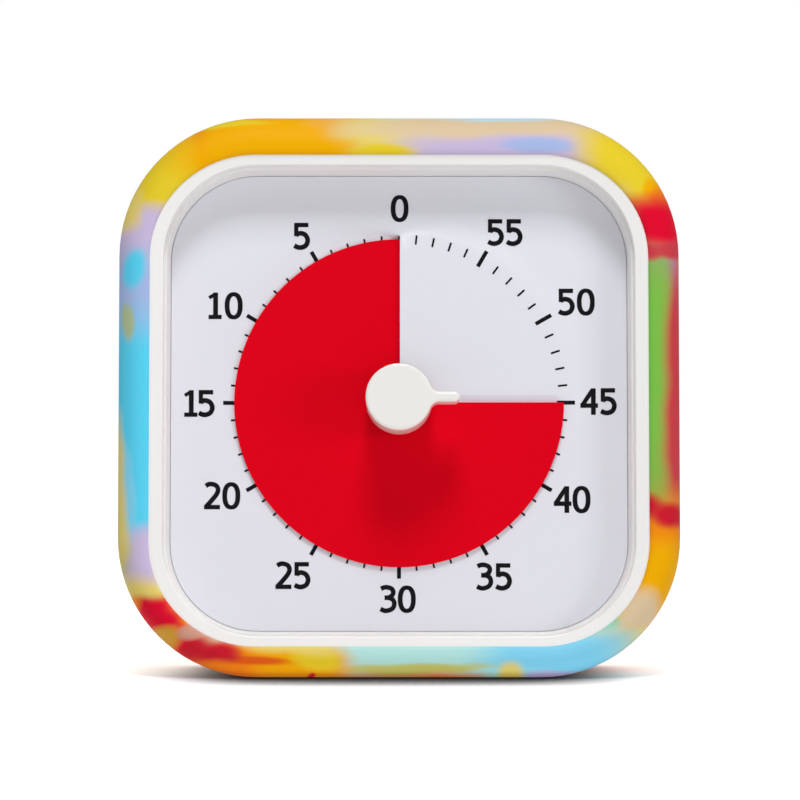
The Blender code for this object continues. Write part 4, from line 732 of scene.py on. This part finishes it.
def turn_of(x, y):
    """Turns counter-clockwise from 12 o'clock, from 0 to 1."""
    return (np.arctan2(-x, y) / (2 * math.pi)) % 1.0


def dial_height(radius, turn):
    """Ramp = pitch * (turn - 1/2) inside; outside it fades to 0, and to 0 at 12 o'clock too.

    The fade at 12 o'clock has no width where the ramp ends, and widens outwards.
    """
    ramp = PITCH * (turn - 0.5)
    fade = eased((FLAT_FROM - radius) / (FLAT_FROM - RAMP_END))
    blend = BLEND_TURNS * np.clip((radius - RAMP_END) / (SLIT_END - RAMP_END), 1e-6, BLEND_GROWS)
    return np.where(radius <= RAMP_END, ramp, ramp * fade * eased(np.minimum(turn, 1.0 - turn) / blend))


def polar(radius, turn):
    """x = - radius sin, y = radius cos of the turn."""
    return -radius * np.sin(2 * math.pi * turn), radius * np.cos(2 * math.pi * turn)


print("height beside the slit:", [round(float(dial_height(20.0, turn)), 2) for turn in (0.001, 0.999)])

# %% The dial sheet
def dial_sheet(steps=240, half=36.69, thick=0.45):
    """Loop of rows over the top and back beneath, for every turn, with the slit as a gap."""
    inner = np.array([5.2, 9.0, 14.0, 19.0, 24.0, RAMP_END])
    outer = np.array([27.2, 27.5, SLIT_END, 28.5, 29.2, 29.9, 30.7, FLAT_FROM])
    turn = np.linspace(0.0, 1.0, steps + 1)
    edge = reach_to_square(*polar(1.0, turn), half)
    rows = []
    for radius in inner:
        gap = math.asin(SLIT_HALF / radius) / (2 * math.pi)
        slit_turn = np.concatenate([[gap], turn[1:-1], [1.0 - gap]])
        rows.append((np.full_like(turn, radius), slit_turn, PITCH * (slit_turn - 0.5)))
    for radius in outer:
        rows.append((np.full_like(turn, radius), turn, dial_height(np.full_like(turn, radius), turn % 1.0)))
    for share in (0.5, 1.0):
        rows.append((FLAT_FROM + (edge - FLAT_FROM) * share, turn, np.zeros_like(turn)))
    top = np.array([np.stack([*polar(r, t), h], axis=1) for r, t, h in rows])
    under = top[::-1] - np.array([0.0, 0.0, thick])
    points, faces = shell(np.concatenate([top, under]), wrap_rows=True, wrap_columns=False)
    last = 2 * len(top) - 1
    for column in (0, steps):
        for row in range(len(inner)):
            pair = [row, row + 1, last - row - 1, last - row]
            faces.append([r * (steps + 1) + column for r in pair])
    return points, faces


DIAL_WHITE = moulded("printed_dial_white", colour("e6e7ef"), drift=0.008, rough=0.5, rough_swing=0.05,
                     grain=0.25, raise_by=0.002)
make_piece("dial_plate", [dial_sheet()], DIAL_WHITE, "case", ["dial"], sharp=40.0)

# %% [markdown]
# ## Printed scale and numbers
# The scale is screen-printed: 59 marks, longer and wider every five minutes, and twelve numbers that
# run backwards. An image would be the quick way, but here every print is a very thin solid laid on
# the dial. A mark is a strip along a radius. A number is built from pen strokes: a smooth line
# through a few points, widened to both sides, as a sign painter would draw it.

# %% Ink strips laid on the dial
INK = moulded("black_printing_ink", colour("0d0c11"), drift=0.05, rough=0.5, grain=0.1, raise_by=0.001,
              Specular_IOR_Level=0.15)
INK_TOP, INK_LOW = 0.022, 0.004


def on_dial(flat, lift):
    """Points x, y raised to the dial's height there plus lift."""
    radius, turn = np.hypot(flat[..., 0], flat[..., 1]), turn_of(flat[..., 0], flat[..., 1])
    return np.concatenate([flat, (dial_height(radius, turn) + lift)[..., None]], axis=-1)


def ink_strip(left, right, extra=0.0, looped=False):
    """Strip whose section at each station is left low, left top, right top, right low.

    Its top lies extra above the usual one. A looped strip runs on to its start, another has capped ends.
    """
    top = INK_TOP + extra
    section = [on_dial(left, INK_LOW), on_dial(left, top), on_dial(right, top), on_dial(right, INK_LOW)]
    return shell(np.stack(section, axis=1), wrap_rows=looped, caps=not looped)


# %% Minute marks
LONG_MARK, SHORT_MARK = (25.4, 28.3, 0.32), (25.7, 27.2, 0.16)  # first and last radius, half width


def minute_mark(minute):
    """Strip along the radius, long and wide every five minutes, short and thin between."""
    first, last, half = LONG_MARK if minute % 5 == 0 else SHORT_MARK
    turn = minute / 60.0
    along = np.linspace(first, last, 9)[:, None]
    out = np.array(polar(1.0, turn))
    side = np.array([-out[1], out[0]]) * half
    return ink_strip(along * out + side, along * out - side)


make_piece("minute_marks", [minute_mark(minute) for minute in range(1, 60)], INK, "case")


# %% Pen strokes of the six digits
def smooth_line(points, steps=10):
    """Catmull-Rom curve: each span leaves and meets its points along the line of their neighbours."""
    points = np.asarray(points, dtype=float)
    if len(points) == 2:
        return points[0] + np.linspace(0.0, 1.0, 3)[:, None] * (points[1] - points[0])
    padded = np.concatenate([[2 * points[0] - points[1]], points, [2 * points[-1] - points[-2]]])
    a, b, c, d = (padded[i:len(padded) - 3 + i, None, :] for i in range(4))
    t = np.linspace(0.0, 1.0, steps, endpoint=False)[None, :, None]
    square, cube = 2 * a - 5 * b + 4 * c - d, 3 * b - a - 3 * c + d
    curve = 0.5 * (2 * b + (c - a) * t + square * t ** 2 + cube * t ** 3)
    return np.concatenate([curve.reshape(-1, 2), points[-1:]])


def oval(centre, radii, power=2.35, steps=48):
    """Superellipse: each of cosine and sine keeps its sign and is raised to 2 / power."""
    cos, sin = np.cos(full_turn(steps)), np.sin(full_turn(steps))
    x = np.sign(cos) * np.abs(cos) ** (2 / power)
    y = np.sign(sin) * np.abs(sin) ** (2 / power)
    return np.stack([centre[0] + radii[0] * x, centre[1] + radii[1] * y], axis=1)


# Each digit: its width, then its strokes as (pen width, points), in millimetres from its lower left
DIGITS = {
    "1": (2.12, [(0.73, [(1.13, 0.0), (1.13, 4.28)]), (0.64, [(0.0, 0.32), (2.12, 0.32)]),
                 (0.52, [(0.08, 3.42), (0.55, 3.7), (1.1, 4.02)])]),
    "2": (2.60, [(0.70, [(0.28, 3.72), (0.75, 4.0), (1.35, 4.02), (1.98, 3.75), (2.26, 3.15), (2.02, 2.4),
                         (1.25, 1.42), (0.42, 0.5)]), (0.66, [(0.0, 0.33), (2.57, 0.33)])]),
    "3": (2.70, [(0.70, [(0.2, 3.8), (0.62, 4.0), (1.2, 4.05), (1.9, 3.82), (2.18, 3.3), (1.95, 2.72),
                         (1.4, 2.42), (0.78, 2.38)]),
                 (0.70, [(0.78, 2.38), (1.55, 2.34), (2.15, 2.0), (2.34, 1.32), (2.02, 0.64), (1.2, 0.3),
                         (0.6, 0.36), (0.12, 0.6)])]),
    "4": (2.84, [(0.72, [(2.1, 0.0), (2.1, 4.28)]), (0.68, [(0.0, 1.48), (2.84, 1.48)]),
                 (0.66, [(0.3, 1.5), (1.98, 4.02)])]),
    "5": (2.68, [(0.66, [(0.14, 3.95), (2.42, 3.95)]), (0.64, [(0.45, 4.28), (0.45, 2.12)]),
                 (0.72, [(0.42, 2.3), (0.85, 2.56), (1.3, 2.6), (1.95, 2.3), (2.3, 1.5), (2.0, 0.66),
                         (1.25, 0.31), (0.62, 0.38), (0.14, 0.62)])]),
}
print("digits drawn with a pen:", sorted(DIGITS))

# %% Numbers
INK_SPREAD = 0.05  # how much wider each stroke prints
ZERO_MIDDLE, ZERO_OUTSIDE, ZERO_INSIDE = (1.445, 2.14), (1.445, 2.2), (0.67, 1.53)
DIGIT_GAP, DIGIT_MIDDLE = 0.34, 2.14
OWN_GAPS = {"10": 0.48, "15": 0.1, "30": 0.2, "40": 0.18}  # numbers that are set wider or closer
STEP_UP = 0.002  # between one stroke and the next, so that no two tops lie in one plane


def widened(line, pen):
    """Left and right edges: the line moved half a pen to both sides of its own direction."""
    ahead = np.gradient(line, axis=0)
    ahead /= np.linalg.norm(ahead, axis=1, keepdims=True)
    side = np.stack([-ahead[:, 1], ahead[:, 0]], axis=1) * pen / 2
    return line + side, line - side


def digit_edges(digit, left):
    """Edges of each stroke of a digit whose left side is at x = left, and the digit's width."""
    if digit == "0":
        outer, inner = oval(ZERO_MIDDLE, ZERO_OUTSIDE), oval(ZERO_MIDDLE, ZERO_INSIDE, 2.2)
        return [(outer + (left, 0.0), inner + (left, 0.0), True)], 2 * ZERO_OUTSIDE[0]
    width, strokes = DIGITS[digit]
    edges = [(*widened(smooth_line(points), pen + INK_SPREAD), False) for pen, points in strokes]
    return [(a + (left, 0.0), b + (left, 0.0), closed) for a, b, closed in edges], width


def number_piece(text, centre):
    """Digits side by side, moved so that their box is centred, then laid on the dial."""
    gap = OWN_GAPS.get(text, DIGIT_GAP)
    strokes, left = [], 0.0
    for digit in text:
        added, width = digit_edges(digit, left)
        strokes += added
        left += width + gap
    shift = np.array(centre) - np.array([(left - gap) / 2, DIGIT_MIDDLE])
    shells = [ink_strip(a + shift, b + shift, order * STEP_UP, looped)
              for order, (a, b, looped) in enumerate(strokes)]
    make_piece("number_" + text, shells, INK, "case")


# Each number: the middle of its box on the face
NUMBERS = {
    "0": (0.1, 31.48), "55": (17.1, 27.6), "50": (28.6, 16.3), "45": (32.1, 0.2), "40": (27.8, -15.6),
    "35": (15.25, -28.0), "30": (-0.2, -31.6), "25": (-17.0, -27.8), "20": (-28.4, -15.0),
    "15": (-32.1, -0.1), "10": (-27.95, 15.7), "5": (-15.7, 27.0),
}
for text, centre in NUMBERS.items():
    number_piece(text, centre)

# %% [markdown]
# ## The red disc and its clear edge
# The disc is a thin red film on a hub, on the same screw as the dial and a quarter of a millimetre
# above it. Its leading edge stands at 45 minutes, and its last quarter already lies beneath the
# dial. Along the leading edge runs a clear strip that guards the film. The film has a faint mottle,
# which shows as soft cloudiness in the red.

# %% Red film and its hub
FILM_TOP, FILM_LOW = 0.5, 0.25  # above the ramp
SHOWN = 0.75  # turns, 45 minutes


def film_sheet(steps=240, rim=26.5, hub=3.9):
    """Loop of four corners, inner and outer, top and bottom, climbing the screw for one whole turn."""
    turn = np.linspace(SHOWN - 1.0, SHOWN, steps + 1)
    rings = []
    for radius, lift in ((hub, FILM_LOW), (hub, FILM_TOP), (rim, FILM_TOP), (rim, FILM_LOW)):
        rings.append(np.stack([*polar(radius, turn), PITCH * (turn - 0.5) + lift], axis=1))
    return shell(np.stack(rings, axis=1), caps=True)


def d_reach(radius, flat, steps=96):
    """Radius of a circle at each angle, cut short where a flat lies across it below its centre."""
    sin = np.sin(full_turn(steps))
    return np.where(sin < 0, np.minimum(radius, flat / np.maximum(-sin, 1e-6)), radius)


def round_rings(rows, steps=96):
    """A ring for each row: its radius, one number or one for each angle, and its depth."""
    cos, sin = np.cos(full_turn(steps)), np.sin(full_turn(steps))
    return [np.stack([radius * cos, radius * sin, np.full(steps, z)], axis=1) for radius, z in rows]


def hub_ring():
    """Round outside with a chamfer, and a D-shaped bore."""
    bore = d_reach(2.7, 2.2)
    rows = [(4.9, -0.95), (4.9, 0.95), (4.8, 1.05), (bore, 1.05), (bore, -0.95)]
    return shell(round_rings(rows), wrap_rows=True)


RED_FILM = moulded("red_film", colour("e2001a"), drift=0.04, rough=0.5, rough_swing=0.06, grain=0.22,
                   raise_by=0.002, Specular_IOR_Level=0.04)
make_piece("red_disc_film", [film_sheet(), hub_ring()], RED_FILM, "disc", ["red_disc"])

# %% Clear strip ahead of the film
STRIP_NEAR, STRIP_FAR = 0.25, 1.2  # its two sides, ahead of the film's edge


def edge_strip():
    """Ring of four corners at each station along the leading edge, its outer end rounded."""
    along = np.array([9.9, 13.0, 17.0, 21.0, 25.0, 25.25, 25.45, 25.6, 25.7])
    drop = np.array([0.0, 0.0, 0.0, 0.0, 0.0, 0.05, 0.16, 0.36, 0.7])
    near, far = np.full_like(along, STRIP_NEAR), STRIP_FAR - drop
    rings = []
    for across, lift in ((near, FILM_LOW), (near, FILM_TOP), (far, FILM_TOP), (far, FILM_LOW)):
        turn = SHOWN + np.arctan2(across, along) / (2 * math.pi)
        rings.append(np.stack([along, across, PITCH * (turn - 0.5) + lift], axis=1))
    return shell(np.stack(rings, axis=1), caps=True)


STRIP_CLEAR = clear_sheet("clear_edge_plastic", (0.985, 0.973, 0.982), 0.006)
make_piece("clear_edge_strip", [edge_strip()], STRIP_CLEAR, "disc", ["disc_edge_strip"])

# %% [markdown]
# ## The knob
# The knob is a round button with one short fin that points at the set time. Its outline is a circle
# and a bar joined by two fillets, and the same outline drawn inwards gives every level of the
# rounded rim. A boolean union of two cylinders would leave the fillets out, and they are what the
# finger feels. The body narrows to a round drum beneath the fin and a D-shaped stem goes to the hub.

# %% Outline and levels of the knob
KNOB_RADIUS, KNOB_TOP, KNOB_ROUND = 5.3, 11.8, 0.5
FIN_HALF, FIN_END, FIN_FILLET, FIN_LOW = 0.8, 8.8, 1.5, 6.1


def knob_outline(inset):
    """Fin end, fillet, circle and fillet again, each an arc whose radius the inset changes."""
    radius, half, fillet = KNOB_RADIUS - inset, FIN_HALF - inset, FIN_FILLET + inset
    y = half + fillet
    x = math.sqrt((radius + fillet) ** 2 - y ** 2)
    root = math.degrees(math.atan2(y, x))
    end = arc((FIN_END, 0.0), (half, half), -90.0, 90.0, 17)
    upper = arc((x, y), (fillet, fillet), -90.0, root - 180.0, 9)
    round_part = arc((0.0, 0.0), (radius, radius), root, 360.0 - root, 81)[1:-1]
    lower = arc((x, -y), (fillet, fillet), 180.0 - root, 90.0, 9)
    return np.concatenate([end, upper, round_part, lower])


def knob_level(inset, z, scale=1.0):
    """The outline at one depth; a scale below 1 draws it towards the centre for the flat top."""
    flat = knob_outline(inset) * scale
    return np.column_stack([flat, np.full(len(flat), z)])


print("outline of the knob has", len(knob_outline(0.0)), "points")

# %% The knob with its drum and stem
DRUM_LOW, DRUM_TOP, DRUM_BORE = 2.2, 6.3, 2.2
STEM_TOP, STEM_END, STEM_BORE = 3.2, -2.4, 1.3


def knob_shells():
    """Fin and rim as rings of outlines, the drum beneath them, and the stem with its socket."""
    rim = arc((KNOB_ROUND, KNOB_TOP - KNOB_ROUND), (KNOB_ROUND, KNOB_ROUND), 180.0, 90.0, 8)
    levels = [knob_level(0.0, FIN_LOW, 0.0), knob_level(0.0, FIN_LOW)]
    levels += [knob_level(inset, z) for inset, z in rim]
    levels += [knob_level(KNOB_ROUND + 0.15, KNOB_TOP, scale) for scale in (1.0, 0.5, 0.0)]
    drum = [(DRUM_BORE, DRUM_LOW), (KNOB_RADIUS - 0.1, DRUM_LOW), (KNOB_RADIUS, DRUM_LOW + 0.1),
            (KNOB_RADIUS, DRUM_TOP), (DRUM_BORE, DRUM_TOP)]
    outside = d_reach(2.4, 1.9)
    stem = [(outside, STEM_TOP), (outside, STEM_END + 0.1), (outside - 0.1, STEM_END),
            (STEM_BORE, STEM_END), (STEM_BORE, STEM_TOP)]
    return [shell(levels), shell(round_rings(drum), wrap_rows=True), shell(round_rings(stem), wrap_rows=True)]


make_piece("turning_knob", knob_shells(), KNOB_WHITE, "knob", ["knob"], sharp=40.0)

# %% [markdown]
# ## Floor, backdrop and light
# The timer stands on a seamless white sweep. A real studio burns it out to pure white, and more light
# would burn out the object as well. Instead floor and world are white only where they are seen: the
# floor adds a glow for camera rays, and the world is full white to camera rays and to any that a clear
# piece bends. The timer's shadow on the floor is a painted shadow: near its foot, where an occlusion
# test finds the timer close, camera rays see the paper's colour and glow darkened. One soft lamp above
# and in front gives the shade under the bezel's top edge and the soft shadow of the knob, a wide one at
# the right fills it, and the world does the rest.

# %% White paper
# These shape the painted shadow on the floor: its reach round the foot, the occlusion at which it is full and
# none, and how much glow it takes.
FOOT_FAR, FOOT_NEAR = 2300.0, 500.0  # square millimetres, as worked out below
DEPTH_SHARE = 0.16
OPEN_SKY, UNDER_TIMER = 0.86, 0.43  # share of open air over the paper beside it and beneath it
BASE_GLOW, SEEN_GLOW, SHADE_TAKES = 0.2, 0.56, 0.76


def white_floor():
    """Diffuse paper plus a glow that camera rays see, so the open floor reads as white.

    For camera rays both are darkened where the timer hangs close over the paper: a painted shadow, darkest in
    the line under it.
    Distance from the foot = x squared + a share of depth squared.
    """
    finish, tree, shader = new_finish("white_sweep_painted_shadow")
    camera_ray = add_node(tree, "ShaderNodeLightPath", output="Is Camera Ray")
    place = face_millimetres(tree)
    across, depth = [place.node("ShaderNodeSeparateXYZ", None, {0: place}, axis) for axis in "XZ"]
    under_it = smooth_mask(across * across + depth * depth * DEPTH_SHARE, FOOT_FAR, FOOT_NEAR)
    towards_it = add_node(tree, "ShaderNodeCombineXYZ", None, {0: 0.0, 1: 0.87, 2: 0.49})
    near_it = {"Distance": 0.03, "Normal": towards_it}
    open_air = add_node(tree, "ShaderNodeAmbientOcclusion", {"samples": 16}, near_it, "AO")
    clear_of_it = {0: open_air, 1: UNDER_TIMER, 2: OPEN_SKY, 3: 0.0, 4: 1.0}
    # Painted shadow: near the foot, camera rays see the paper darkened towards near black and its glow cut.
    shade = (1.0 - open_air.node("ShaderNodeMapRange", None, clear_of_it)) * under_it
    paper_tone = mix_colour(noise(place, 4.0), (0.80, 0.80, 0.80), (0.82, 0.82, 0.82))
    tone = mix_colour(camera_ray * shade, paper_tone, (0.03, 0.03, 0.03))
    paper = add_node(tree, "ShaderNodeBsdfDiffuse", None, {"Color": tone})
    strength = BASE_GLOW + camera_ray * (SEEN_GLOW - shade * SHADE_TAKES)
    glow = add_node(tree, "ShaderNodeEmission", None, {"Color": (1.0, 1.0, 1.0, 1.0), "Strength": strength})
    both = add_node(tree, "ShaderNodeAddShader", None, {0: paper, 1: glow})
    tree.nodes.remove(shader)
    tree.links.new(both.output, tree.nodes["Material Output"].inputs["Surface"])
    return finish


# %% The floor and the white room
across, along = np.meshgrid(np.linspace(-6, 6, 3), np.linspace(-6, 6, 3), indexing="ij")
grid = np.stack([across, along, np.zeros((3, 3))], axis=2)
floor_mesh = bpy.data.meshes.new("floor")
floor_mesh.from_pydata(grid.reshape(-1, 3).tolist(), [], grid_faces(3, 3))
floor_mesh.materials.append(white_floor())
floor = bpy.data.objects.new("floor", floor_mesh)
bpy.context.scene.collection.objects.link(floor)

ROOM = 0.32  # how strongly the white room lights the timer
world = bpy.data.worlds.new("white_room")
bpy.context.scene.world = world
world.use_nodes = True
tree = world.node_tree
camera_ray = add_node(tree, "ShaderNodeLightPath", output="Is Camera Ray")
clear_ray = add_node(tree, "ShaderNodeLightPath", output="Is Transmission Ray")
seen = camera_ray.maths("MAXIMUM", camera_ray, clear_ray)
tree.links.new((seen * (1.0 - ROOM) + ROOM).output, tree.nodes["Background"].inputs["Strength"])
tree.nodes["Background"].inputs["Color"].default_value = (1.0, 1.0, 1.0, 1.0)
print("floor of", len(floor_mesh.polygons), "faces in a room whose light has strength", ROOM)


# %% Lamps
def soft_lamp(name, place, size, power):
    """Square area lamp at a place, turned so that its face looks at the middle of the timer."""
    lamp = bpy.data.lights.new(name, "AREA")
    lamp.shape, lamp.size, lamp.energy = "SQUARE", size, power
    made = bpy.data.objects.new(name, lamp)
    bpy.context.scene.collection.objects.link(made)
    away = np.array(place) - CENTRE
    tilt = math.acos(away[2] / np.linalg.norm(away))
    made.location = place
    made.rotation_euler = (tilt, 0.0, math.atan2(away[1], away[0]) + math.pi / 2)
    return made


overhead = soft_lamp("overhead_softbox", (0.005, -0.445, 0.90), 0.27, 5.2)
fill = soft_lamp("front_fill", (1.1, -0.95, 0.1), 0.5, 5.3)
fill.visible_glossy = False
print("lamps in watts:", {lamp.name: round(lamp.data.energy, 2) for lamp in (overhead, fill)})

# %% [markdown]
# ## The camera
# The picture was taken square on, from the height of the dial, with a long lens: the sides of the
# cover don't show at all and its outline is nearly a square. So the camera looks straight along y.
# Its distance and lens are chosen together, so that the cover's widest line has the width that it
# has in the picture.

# %% Camera
camera_data = bpy.data.cameras.new("camera")
camera_data.sensor_width, camera_data.lens = 36.0, 196.2
camera = bpy.data.objects.new("camera", camera_data)
camera.location = (0.00016, -0.7135, 0.04425)
camera.rotation_euler = (math.pi / 2, 0.0, 0.0)
bpy.context.scene.collection.objects.link(camera)
bpy.context.scene.camera = camera
bpy.context.scene.view_settings.view_transform = "Standard"
print("camera", round(camera.location.y, 3), "m along y with a lens of", round(camera_data.lens, 1), "mm")
